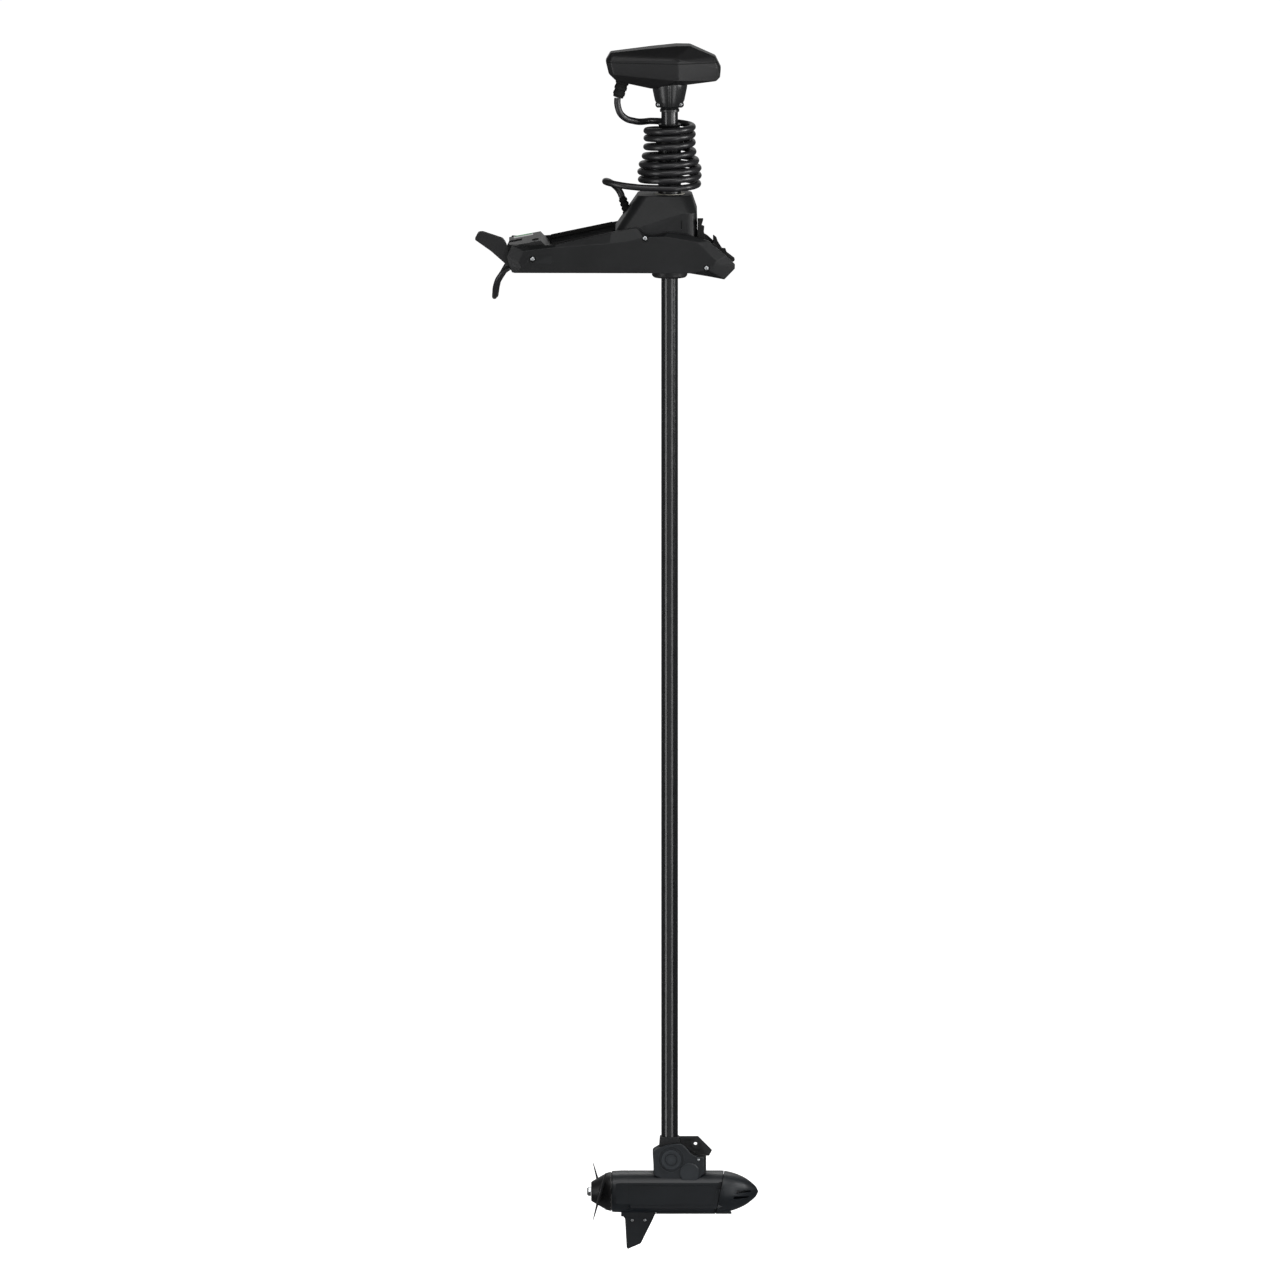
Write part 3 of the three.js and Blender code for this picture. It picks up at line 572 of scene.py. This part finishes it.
HANK_EDGE = HANK_Y - HANK_R  # where the cable joins the hank and leaves it again
HANK_TAIL = [(-20, HIGH), (22, HIGH), (34, 20.2), (46, 17.4), (57, 14.5), (66, 13.4)]
hank_path = [
    (-124.5, HANK_EDGE, LOW),
    *fold(HANK_X[1], -math.pi / 2, LOW, LOW),
    *fold(HANK_X[0], math.pi / 2, LOW, HIGH),
    *[(x, HANK_EDGE, z) for x, z in HANK_TAIL],
]
CABLE_STEP = 4
TWIST_PITCH = 150
cable_path = evenly([*catmull(CABLE_ROUTE, 8), *hank_path], CABLE_STEP)


def twin_section(step):
    """Two round cores side by side in one skin, which turns as it goes along."""
    turn = 2 * math.pi * step * CABLE_STEP / TWIST_PITCH
    out = []
    for i in range(28):
        angle = 2 * math.pi * i / 28
        reach = 2 * abs(math.cos(angle)) + math.sqrt((POWER_CORD_R - 2) ** 2 - (2 * math.sin(angle)) ** 2)
        out.append((reach * math.cos(angle + turn), reach * math.sin(angle + turn)))
    return out


power_cable = cord_piece("power_cable_lead", cable_path, twin_section, "power_cable", "power_cable_hank")
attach(power_cable, "base")


# ---------------------------------------------------------------- small pieces

def screw(name, start, way, radius, length):
    """A round-headed screw with a hexagonal socket, its head at the far end."""
    profile = [
        (0, 0), (radius * 0.7, 0), (radius * 0.7, length - 3.2), (radius, length - 3), (radius, length - 0.9),
        (radius * 0.82, length - 0.2), (radius * 0.6, length), (0, length),
    ]
    socket = rod(Vector(start) + Vector(way) * (length - 1.8), way, radius * 0.42, 4, 6)
    return cut(make(name, turned(profile, start, way, 40)), socket)


def ribs(foot, tip, length, count):
    """The profile of a ribbed strain relief that tapers from its foot to its tip."""
    profile = [(0, 0)]
    step = length / count
    for i in range(count):
        r = foot + (tip - foot) * i / count
        start = i * step
        profile += [
            (r - 0.5, start), (r, start + 0.5), (r, start + 0.5 * step), (r - 0.5, start + 0.56 * step),
            (r - 1.7, start + 0.64 * step), (r - 1.7, start + 0.93 * step),
        ]
    return [*profile, (tip - 1.6, length), (0, length)]


def groove(outline, inset, depth_from, depth_to, side):
    """A closed band that follows an outline on a side face."""
    def inward(value, centre):
        return value - math.copysign(inset, value - centre)

    middle = Vector((sum(x for x, _ in outline), sum(z for _, z in outline))) / len(outline)
    inside = [(inward(x, middle.x), inward(z, middle.y)) for x, z in outline]
    loops = [(outline, depth_from), (outline, depth_to), (inside, depth_to), (inside, depth_from)]
    return skin([[(x, side * y, z) for x, z in loop] for loop, y in loops], closed=True)


# ---------------------------------------------------------------- base

PLATE_REAR = [
    (-179, 0, -184, 0), (-163.6, 11.4, -190, 15), (-169, 22.7, -196, 33), (-160, 45, -184, 57),
    (-148, 48, -150, 55), (-93, 54, -95, 58.5), (21, 62, 25, 85), (55, 66, 60, 92), (89, 74, 77, 94.5),
    (94, 75.5, 94, 81.5), (100, 76, 102, 77.5), (118, 76, 118.5, 77.5), (134, 76, 140, 84),
    (170, 70.5, 184, 79),
]
ARM_FRONT = {
    -1: [(203, 65, 226, 66.5), (243.5, 25.5, 263, 35), (240, 21, 282, 17), (236, 15, 282, 8)],
    1: [(203, 65, 224, 58), (243.5, 25.5, 255, 30), (240, 21, 281, 10), (236, 15, 282, 5)],
}
ARM_FOOT = [(228, 6, 260, -15), (185, -1, 188, -1)]
PEDAL_PIN = (-178, 17)
SIDE_NAMES = {-1: "starboard", 1: "port"}

for side, side_name in SIDE_NAMES.items():
    corners = [*PLATE_REAR, *ARM_FRONT[side], *ARM_FOOT]
    plate = make(f"side_plate_{side_name}_fine", skin([
        [(c[0], side * PLATE_OUT, c[1]) for c in corners],
        [(c[2], side * BEVEL_IN, c[3]) for c in corners],
        [(c[2], side * PLATE_IN, c[3]) for c in corners],
    ]))
    rounded(plate, 1.3, 3, 8)
    for x, z in SCREWS:
        cut(plate, rod((x, side * 94, z), (0, side, 0), 7, 6, 48))
        cut(plate, rod((x, side * 86, z), (0, side, 0), 4.8, 9))
    cut(plate, rod((PIVOT[0], side * 79, PIVOT[1]), (0, side, 0), AXLE_R + GAP, 9.8, 48))
    if side < 0:
        cut(plate, rod((PEDAL_PIN[0], -79, PEDAL_PIN[1]), (0, -1, 0), 4.3, 9.3))
    frame_line = round_corners([(-148, 19), (-99, 19), (-99, 37), (-148, 37)], 5)
    cut(plate, groove(frame_line, 0.8, PLATE_OUT - 0.6, PLATE_OUT + 1, side))
    place(plate, "cast", f"side_plate_{side_name}")
    place(softened(f"rest_pad_{side_name}", 1.5), "rubber", f"rest_pad_{side_name}")
    place(softened(f"channel_rail_{side_name}", 1), "rubber", f"channel_rail_{side_name}")
    for where, (x, z) in zip(("rear", "middle", "front"), SCREWS):
        head = screw(f"plate_screw_{where}_{side_name}", (x, side * 86.3, z), (0, side, 0), 4.5, 10)
        if side < 0:
            place(head, "steel", f"plate_screw_{where}")
        else:
            place(head, "steel", body="base")

ROUNDED_ONLY = [
    ("base_floor_plate", 0.8, "cast"), ("rear_crossbar", 1.2, "cast"), ("display_box", 1.6, "plastic"),
    ("display_window", 0.4, "lens"), ("latch_bolt", 0.8, "steel"),
]
for node, width, finish in ROUNDED_ONLY:
    place(softened(node, width), finish, node)
place(make("pivot_axle_fine", rod((PIVOT[0], -88.5, PIVOT[1]), PORT, AXLE_R, 177, 64)), "steel", "pivot_axle")

BOX_RISE = 0.1894  # how fast the display box's top climbs toward the front
BOX_SLOPE = math.atan(BOX_RISE)


def box_top(x):
    return 54 + (x + 190) * BOX_RISE


LAMP = [(x, box_top(x) + above) for x, above in ((-178, 0.15), (-142, 0.15), (-142, 0.7), (-178, 0.7))]
place(make("status_lamp", prism("y", LAMP, 68.6, 71)), "lamp", body="base")

BUTTON_WAY = Vector((-math.sin(BOX_SLOPE), 0, math.cos(BOX_SLOPE)))
BUTTON_TOP = Vector((-135, -48, box_top(-135)))
BUTTON = [(0, 0), (7, 0), (7, 6.8), (6.4, 7.6), (5.6, 8), (4.8, 7.7), (0, 7.5)]
button = make("power_button_fine", turned(BUTTON, BUTTON_TOP - BUTTON_WAY * 6, BUTTON_WAY, 48))
place(button, "rubber", "power_button")

PEDAL_OUTLINE = [
    (-262, 68), (-254, 83), (-245, 84), (-203, 70), (-197, 62), (-190, 42), (-171, 27), (-168, 17),
    (-173, 8.5), (-183, 8), (-195, 14.5), (-227, 43),
]
pedal = make("release_pedal_fine", prism("y", round_corners(PEDAL_OUTLINE, 3, 4), -78.5, -58))
TRAY = [(-252, 79.8), (-246, 80.6), (-206, 68), (-206, 90), (-252, 90)]
cut(pedal, prism("y", TRAY, -76, -60.5))
cut(pedal, rod((PEDAL_PIN[0], -90, PEDAL_PIN[1]), PORT, 4.3, 60))
for x in (-243, -233, -223, -213):
    z = 79.6 - (x + 243) * 0.314
    rib = [(x - 1.6, z - 4), (x + 1.6, z - 4), (x + 1.6, z + 2.1), (x - 1.6, z + 2.6)]
    add(pedal, prism("y", rib, -75.9, -60.6))
place(rounded(pedal, 0.9, 2, 30), "plastic", "release_pedal")
place(make("pedal_pin_fine", rod((PEDAL_PIN[0], -88, PEDAL_PIN[1]), PORT, 4, 34, 40)), "steel", "pedal_pin")


# ---------------------------------------------------------------- tower

def rounded_section(z, rear, front, half, radius, inset=0.0):
    r = max(radius - inset, 2)
    x = (front - inset - r, rear + inset + r)
    y = half - inset - r
    out = []
    for quarter, (cx, cy) in enumerate([(x[0], y), (x[1], y), (x[1], -y), (x[0], -y)]):
        for i in range(9):
            angle = (quarter + i / 8) * math.pi / 2
            out.append((cx + r * math.cos(angle), cy + r * math.sin(angle), z))
    return out


# Height, rear, front, half width, corner radius. The front stands straight for longer than the sides do.
TOWER = [(9, 68, 200, 60, 16), (60, 45, 203, 77, 20), (84, 32, 203.4, 77, 22), (156, 79, 192, 54, 28)]
TOWER_FRONT = [(122, 152, 202.6, 74, 20)]
CAVITY = [(8, 68, 200, 60, 16), (60, 45, 203, 77, 20), (84, 32, 203.4, 77, 22), (150, 76, 193, 55, 28)]
tower = hull("tower_housing_fine", [p for row in [*TOWER, *TOWER_FRONT] for p in rounded_section(*row)])
rounded(tower, 1.2, 2, 14)
cut(tower, hull("tool", [p for row in CAVITY for p in rounded_section(*row, inset=5)]))
cut(tower, rod((PIVOT[0], -100, PIVOT[1]), PORT, AXLE_R + GAP, 200, 48))
cut(tower, rod(on_shaft(140), UP, 32, 30, ROUND))
for side in SIDE_NAMES:
    slot_outline = round_corners([(169, 89), (171.6, 89), (171.6, 108), (169, 108)], 1)
    cut(tower, prism("y", slot_outline, *across(side, 72.5, 80)))
place(tower, "cast", "tower_housing", angle=24)
place(softened("tower_base_cover", 0.8), "cast", "tower_base_cover")
place(softened("tower_bumper", 1.0), "rubber", "tower_bumper")
GUIDE_COLLAR = [
    (30.3, -20), (33.4, -20), (34, -19.4), (37, -16), (37, -4), (36.4, -3), (36.4, -1), (37, 0), (37, 9),
    (30.3, 9), (30.3, -20),
]
place(make("guide_collar_fine", turned(GUIDE_COLLAR, on_shaft(0), UP)), "plastic", "guide_collar")
sleeve = ring(on_shaft(-18), UP, SHAFT_R + GAP, SLEEVE_R, 268)
place(make("steering_sleeve_fine", sleeve), "shaft", "steering_sleeve")
DEPTH_COLLAR = [
    (17.8, 250.3), (28.4, 250.3), (29, 251), (29, 283.2), (28.4, 284), (24, 288), (20.4, 290), (19.5, 291.4),
    (20, 293), (24, 301), (24, 302), (17.8, 302), (17.8, 250.3),
]


def grip(angle, distance):
    """Shallow finger grooves round the depth collar's wide part."""
    return 1 - 0.02 * max(0.0, math.cos(16 * angle)) if 252 < distance < 283 else 1


place(make("depth_collar_fine", turned(DEPTH_COLLAR, on_shaft(0), UP, 192, grip)), "plastic", "depth_collar")
gland = make("tower_cord_gland_fine", turned(ribs(10, 8.5, 36, 4), (58, 24, 111.5), (-0.35, 0, 1), 48))
cut(gland, hull("tool", [(x - GAP, y, z + 0.2) for row in TOWER for x, y, z in rounded_section(*row)]))
place(gland, "rubber", "tower_cord_gland")


# ---------------------------------------------------------------- head

def both_sides(points):
    return [q for x, y, z in points for q in ((x, y, z), (x, -y, z))]


HEAD = both_sides([
    (11.7, 16, 436.5), (22, 28, 437), (163, 55, 442), (244.5, 27, 425), (252.7, 17, 422), (21.7, 18, 453.8),
    (108.7, 25, 464), (159, 27, 469), (188, 24, 469), (204.6, 22, 458), (241, 20, 445.6), (18.2, 15, 409.2),
    (28, 26, 409), (34.5, 18, 393.6), (106.8, 26, 379), (125, 28, 380), (163, 52, 398), (154, 40, 390),
    (242.6, 20, 394), (251, 17, 402), (24, 25, 446), (161, 50, 449.5), (242, 24.5, 436),
])
HEAD_MIDDLE = Vector((135, 0, 425))
HEAD_HOLLOW = 0.93  # the size of the hollow beside the outside


def head_shape(name, share):
    return hull(name, [HEAD_MIDDLE + (Vector(p) - HEAD_MIDDLE) * share for p in HEAD])


def slab(low, high):
    return block((-100, 400), (-200, 200), (low, high))


head_cover = keep(rounded(head_shape("head_cover_fine", 1), 2.4, 3, 10), slab(HEAD_SEAM + 0.8, 600))
place(cut(head_cover, head_shape("tool", HEAD_HOLLOW)), "plastic", "head_cover", angle=30)
head_base = keep(rounded(head_shape("head_base_fine", 1), 2.4, 3, 10), slab(300, HEAD_SEAM - 0.8))
for x in (217, 234):
    add(head_base, turned([(0, 0), (2.6, 0), (3.2, 0.8), (3.2, 12), (0, 12)], (x, 0, 391.5), UP, 24))
cut(head_base, head_shape("tool", HEAD_HOLLOW), rod(on_shaft(360), UP, SHAFT_R + GAP, 50, ROUND))
HEAD_GLAND_WAY = Vector((-9.4, 0, -33)).normalized()
cut(head_base, rod((51, 0, 407), HEAD_GLAND_WAY, 7, 30))
place(head_base, "plastic", "head_base", angle=30)
gasket = keep(head_shape("head_gasket", 0.985), slab(HEAD_SEAM - 0.7, HEAD_SEAM + 0.7))
cut(gasket, head_shape("tool", 0.935))
place(gasket, "rubber", body="shaft")
head_gland = make("head_cord_gland_fine", turned(ribs(14, 12, 36, 3), (47.5, 0, 393), HEAD_GLAND_WAY, 48))
place(cut(head_gland, head_shape("tool", 1)), "rubber", "head_cord_gland")

NECK = [
    (17.8, 328), (19.8, 328), (20.4, 328.6), (20.4, 333.4), (19.6, 334.2), (18.4, 335), (18.8, 336),
    (25, 338.6), (27, 341), (28.5, 347), (31, 352), (34, 366), (37, 381), (37, 388), (17.8, 388),
    (17.8, 328),
]


def fluted(angle, distance):
    """Four narrow grooves down the neck, between its wide panels."""
    return 1 - 0.05 * max(0.0, math.cos(4 * angle)) ** 60 if distance > 337 else 1


neck = make("head_neck_fine", turned(NECK, on_shaft(0), UP, 192, fluted))
NECK_SCREWS = {"rear": SHAFT_X - 23.5, "front": SHAFT_X + 23.5}
for x in NECK_SCREWS.values():
    add(neck, turned([(0, 0), (6.4, 0), (6.4, 8), (5.6, 8.8), (0, 8.8)], (x, -8, 344.5), (0, -1, 0), 48))
place(cut(neck, head_shape("tool", 1)), "gloss", "head_neck", angle=30)
for name, x in NECK_SCREWS.items():
    place(screw(f"neck_screw_{name}", (x, -10, 344.5), (0, -1, 0), 3.2, 8.4), "steel", body="shaft")
place(make("shaft_tube_fine", ring(on_shaft(SHAFT_FOOT), UP, SHAFT_BORE, SHAFT_R, SHAFT_TOP - SHAFT_FOOT)),
      "shaft", "shaft_tube")


# ---------------------------------------------------------------- motor bracket

def motor_bore(radius=MOTOR_R + GAP):
    return rod(on_motor(-50), FORE, radius, 400, ROUND)


BRACKET = [
    (125, -1829), (165, -1829), (170, -1846), (196, -1866), (222, -1870), (222, -1920), (112, -1920),
    (111, -1858.5), (123.3, -1851),
]
bracket = make("motor_bracket_fine", prism("y", BRACKET, -20, 20))
rounded(bracket, 1.5)
cut(bracket, motor_bore(), rod(on_shaft(SHAFT_FOOT - 0.5), UP, SHAFT_R + GAP, 100, ROUND))
place(bracket, "cast", "motor_bracket")

EAR = [
    (165.5, -1829.3), (204.8, -1829.3), (234, -1858.5), (228, -1869.6), (222, -1869.6), (222, -1868),
    (196, -1864.8), (170.3, -1845.3),
]
EAR_POCKET = [
    (178, -1835), (190, -1834.5), (188, -1842), (196, -1854), (212, -1857), (207, -1861.5), (194, -1858),
    (178, -1846),
]
ear = rounded(make("bracket_ear_fine", prism("y", EAR, -7, 7)), 1.2)
for side in SIDE_NAMES:
    cut(ear, prism("y", round_corners(EAR_POCKET, 2), *across(side, 5.2, 8)))
cut(ear, rod((199.6, -30, -1844.6), PORT, 3.7, 60, 40))
place(ear, "cast", "bracket_ear")

COVER = [
    (109.7, -1858.5), (124, -1850), (140, -1844), (160, -1842), (172, -1843), (182, -1852), (190, -1863),
    (204, -1870), (217, -1870), (218, -1903), (205, -1916), (190, -1924), (172, -1917), (158, -1917.5),
    (130, -1916), (113, -1908),
]
CAP = (148.8, -1874.7)
CAP_PROFILE = [
    (0, 0), (24, 0), (24, 3), (23.6, 3.5), (21.6, 3.5), (21.2, 4), (21, 5.2), (20.4, 6), (13, 6), (12.6, 5.2),
    (11.6, 5.2), (11.2, 6), (0, 6),
]
BOSS_PROFILE = [(0, 0), (21, 0), (21, 5), (19.5, 6.4), (0, 6.4)]
for side, side_name in SIDE_NAMES.items():
    sheet = prism("y", round_corners(COVER, 4), *across(side, 20 + GAP, 31))
    cover = make(f"bracket_cover_{side_name}_fine", sheet)
    rounded(cover, 1.6, 3)
    cut(cover, motor_bore())
    add(cover, turned(CAP_PROFILE, (CAP[0], side * 30, CAP[1]), (0, side, 0)))
    add(cover, ring((CAP[0], side * 30.5, CAP[1]), (0, side, 0), 26.4, 27.6, 1.6))
    boss = turned(BOSS_PROFILE, (187, side * 28, -1903), (0, side, 0))
    add(cover, keep(make("boss", boss), block((150, 230), (-60, 60), (-1925, -1880))))
    place(cover, "cover", f"bracket_cover_{side_name}", angle=30)
    head = screw(f"bracket_screw_{side_name}", (206, side * 25, -1875.5), (0, side, 0), 2.9, 8)
    place(head, "steel", body="shaft")


# ---------------------------------------------------------------- motor

BARREL = [(0, 24.5), (41, 24.5), (43, 26), (MOTOR_R, 45)]
NOSE = [(MOTOR_R, 250), (43, 262), (38.5, 281), (29.5, 302), (19.5, 316), (10, 326), (0.01, 331)]
NOSE_LINE = [(max(0, p[0]), p[1]) for p in catmull([(*p, 0) for p in NOSE], 5)]
TORPEDO = [*BARREL, *NOSE_LINE[:-1], (0, 331)]
KEEL = [(117, -1991), (275, -1991), (262, -1975), (125, -1975)]
REAR_SEAM = 60

# The sides stay upright down to two lower edges: how far along, half width, top, foot, and the chamfer's end.
LOWER_EDGES = [
    (45, 24, 10, -24, 15, -28), (64, MOTOR_FLAT, 16, -31, 26, -35), (244, MOTOR_FLAT, 16, -31, 26, -35),
    (286, 24, 8, -20, 14, -24),
]


def lower_unit(name):
    obj = make(name, turned(TORPEDO, on_motor(0), FORE))
    for side in SIDE_NAMES:
        cut(obj, block((33, 249), across(side, MOTOR_FLAT, 60), (MOTOR_Z - 60, MOTOR_Z + 60)))
    corners = []
    for x, half, top, low, inner, foot in LOWER_EDGES:
        corners += [(x, half, MOTOR_Z + top), (x, half, MOTOR_Z + low), (x, inner, MOTOR_Z + foot)]
    return add(obj, hull("tool", both_sides(corners)))


# Cooling slots that cross the nose seam: one in each side, and one under each side of the keel.
SEAM_SLOTS = [
    ([(249.5, -1921), (256.5, -1921), (251.5, -1937), (245, -1937)], 34),
    ([(238.5, -1979.5), (245, -1979.5), (243.5, -1988), (238.5, -1988)], 10),
]
PANEL = [(66, 17), (246, 17), (236, -26), (66, -26)]  # the outline pressed into each side


def fore_of_seam(offset):
    outline = [(260 + offset, -1895), (450, -1895), (450, -1999), (239 + offset, -1999)]
    return prism("y", outline, -90, 90)


def aft_of(x):
    return block((-100, x), (-90, 90), (MOTOR_Z - 90, MOTOR_Z + 90))


def keel_bar():
    return prism("y", KEEL, -16, 16)


def slotted(obj):
    for side in SIDE_NAMES:
        for outline, depth in SEAM_SLOTS:
            cut(obj, prism("y", outline, *across(side, depth, 60)))
    return obj


housing = cut(add(lower_unit("motor_housing_fine"), keel_bar()), aft_of(REAR_SEAM + GAP), fore_of_seam(0))
rounded(slotted(housing), 0.3, 2, 30)
cut(housing, rod(on_motor(REAR_SEAM - 5), FORE, 36, 176, ROUND))
panel = [(x, MOTOR_Z + z) for x, z in PANEL]
for side in SIDE_NAMES:
    cut(housing, groove(panel, 1.5, MOTOR_FLAT - 0.9, MOTOR_FLAT + 2, side))
place(housing, "motor", "motor_housing", angle=22)
nose = keep(add(lower_unit("motor_nose_fine"), keel_bar()), fore_of_seam(1.6))
rounded(slotted(nose), 0.3, 2, 30)
cut(nose, rod(on_motor(200), FORE, 26, 70, ROUND))
inner = [(r - 11, x) for r, x in NOSE_LINE if r > 11.5]
for side in SIDE_NAMES:
    for x_low, x_high, z in ((284, 315, -1942.5), (279, 311, -1954.5)):
        slot_outline = [(x_low, z - 3.4), (x_high, z - 1.2), (x_high, z + 1.6), (x_low, z + 3.4)]
        tool = make("tool", prism("y", slot_outline, *across(side, 3, 60)))
        cut(tool, turned([(0, 250), *inner, (0, inner[-1][1] + 1)], on_motor(0), FORE))
        cut(nose, tool)
place(nose, "motor", "motor_nose", angle=22)
rear_cap = keep(lower_unit("motor_rear_cap_fine"), aft_of(REAR_SEAM))
cut(rear_cap, rod(on_motor(0), FORE, 6.4, 90, 48), rod(on_motor(48), FORE, 16.3, 20, 64))
place(rear_cap, "motor", "motor_rear_cap", angle=22)

# Seals fill the seams, a little below the skin, and reach just into what they seal.
nose_seal = make("nose_seal", rod(on_motor(225), FORE, 36.5, 50, ROUND))
add(nose_seal, block((230, 270), (-9.5, 9.5), (-1990.2, -1960)))
keep(nose_seal, fore_of_seam(-0.3))
cut(nose_seal, fore_of_seam(1.9))
place(nose_seal, "rubber", body="shaft")
rear_seal = make("rear_seal", rod(on_motor(REAR_SEAM - 0.2), FORE, MOTOR_R - 0.9, 0.7, ROUND))
keep(rear_seal, block((0, 100), (-MOTOR_FLAT + 0.9, MOTOR_FLAT - 0.9), (MOTOR_Z - 60, MOTOR_Z + 60)))
cut(rear_seal, rod(on_motor(0), FORE, 30, 90, ROUND))
place(rear_seal, "rubber", body="shaft")
SHAFT_SEAL = [(6.6, 23.25), (39, 23.25), (40, 24.6), (6.6, 24.6), (6.6, 23.25)]
shaft_seal = make("shaft_seal", turned(SHAFT_SEAL, on_motor(0), FORE))
place(shaft_seal, "rubber", body="shaft")

SKEG = [
    (43.5, -1990.5), (52.3, -2003), (55.6, -2063), (57.5, -2067), (85.3, -2055), (110, -2005),
    (116.5, -1990.5),
]
SKEG_FLANGE = [(44, -1980), (44, -1996), (45, -1997), (112, -1997), (116.5, -1991), (116.5, -1980)]
skeg = rounded(make("skeg_fine", prism("y", SKEG, -4, 4)), 2.6, 4)
add(skeg, prism("y", SKEG_FLANGE, -12, 12))
cut(skeg, motor_bore())
place(skeg, "motor", "skeg")
for i, x in enumerate((67.3, 93.8), 1):
    for side, side_name in SIDE_NAMES.items():
        head = screw(f"skeg_screw_{i}_{side_name}", (x, side, -2006), (0, side, 0), 3, 4.8)
        place(head, "steel", body="shaft")


# ---------------------------------------------------------------- propeller

HUB = [
    (0, -18.6), (19, -18.6), (20.6, -17.4), (21.5, -16), (31, 0), (39, 14), (41, 21.7), (41, 23.2), (0, 23.2),
]
# How far out, how wide, how thick, and how far back the blade's middle is.
BLADE = [
    (22, 46, 9, 0), (50, 84, 7.5, 0), (85, 104, 6, -1), (115, 98, 5, -2), (134, 72, 4, -3),
    (142, 50, 3.2, -3), (145, 26, 2, -3),
]
PITCH = math.radians(15)


def blade_ring(out, chord, thick, back, side):
    points = []
    for i in range(36):
        angle = 2 * math.pi * i / 36
        along = chord / 2 * math.cos(angle)
        through = thick / 2 * math.sin(angle) * (0.82 + 0.18 * math.cos(angle))
        x = along * math.sin(PITCH) + through * math.cos(PITCH)
        z = along * math.cos(PITCH) - through * math.sin(PITCH)
        points.append((x + back, side * out, MOTOR_Z - side * z))
    return points


propeller = make("propeller_fine", turned(HUB, on_motor(0), FORE))
blade_rows = catmull(BLADE, 6)
for side in SIDE_NAMES:
    add(propeller, skin([blade_ring(*row, side) for row in blade_rows]))
cut(propeller, rod(on_motor(-30), FORE, 6.4, 60, 48))
cut(propeller, rod((2, 0, MOTOR_Z - 13.5), UP, 2.8, 27))
place(propeller, "blade", "propeller", angle=30)
NUT = [(0, -27), (7.4, -27), (8, -26.6), (10.5, -24), (10.5, -19), (0, -19)]
place(rounded(make("propeller_nut_fine", turned(NUT, on_motor(0), FORE, 6)), 0.5), "steel", "propeller_nut")


# ---------------------------------------------------------------- power cable fittings

cable_gland = make("power_cable_gland_fine", turned(ribs(9.2, 8.7, 27, 4), GLAND_START, GLAND_WAY, 48))
place(cable_gland, "rubber", "power_cable_gland")
PLUG = [
    (0, 66), (7, 66), (7.5, 67), (9.5, 79), (12.4, 81), (13, 82), (13, 86), (12.2, 87), (12.2, 89), (13, 90),
    (13, 94), (12.2, 95), (12.2, 97), (13, 98), (13, 110.4), (12.6, 111), (11.5, 113), (11.5, 132.4),
    (11, 133), (0, 133),
]
plug = make("power_plug_fine", turned(PLUG, (0, HANK_EDGE, 13.4), FORE, 64))
for y in (-4.5, 4.5):
    cut(plug, rod((119, HANK_EDGE + y, 13.4), FORE, 2.6, 20, 24))
place(plug, "plastic", "power_plug")
tie_out = round_corners([(104.4, 0.1), (121.6, 0.1), (121.6, 29.8), (104.4, 29.8)], 7)
tie_in = round_corners([(105.8, 0.5), (120.2, 0.5), (120.2, 28.5), (105.8, 28.5)], 6)
tie_loops = [(tie_out, -46), (tie_out, -34), (tie_in, -34), (tie_in, -46)]
tie = make("hank_tie", skin([[(x, y, z) for y, z in loop] for loop, x in tie_loops], closed=True))
place(tie, "rubber", body="base")


# ---------------------------------------------------------------- what is left, with its finishes


KEPT = {
    "display_board": "board", "head_board": "board", "lower_bush": "nylon", "upper_bush": "nylon",
    "steering_gear": "nylon", "steering_servo": "motor", "servo_pinion": "steel", "rear_bearing": "steel",
    "front_bearing": "steel", "magnet_ring": "magnet", "armature_core": "copper", "armature_shaft": "steel",
    "drive_pin": "steel",
}
for name, finish in KEPT.items():
    for socket in frame["nodes"][name].material_slots:
        socket.material = MATERIALS[finish]

bpy.context.view_layer.update()
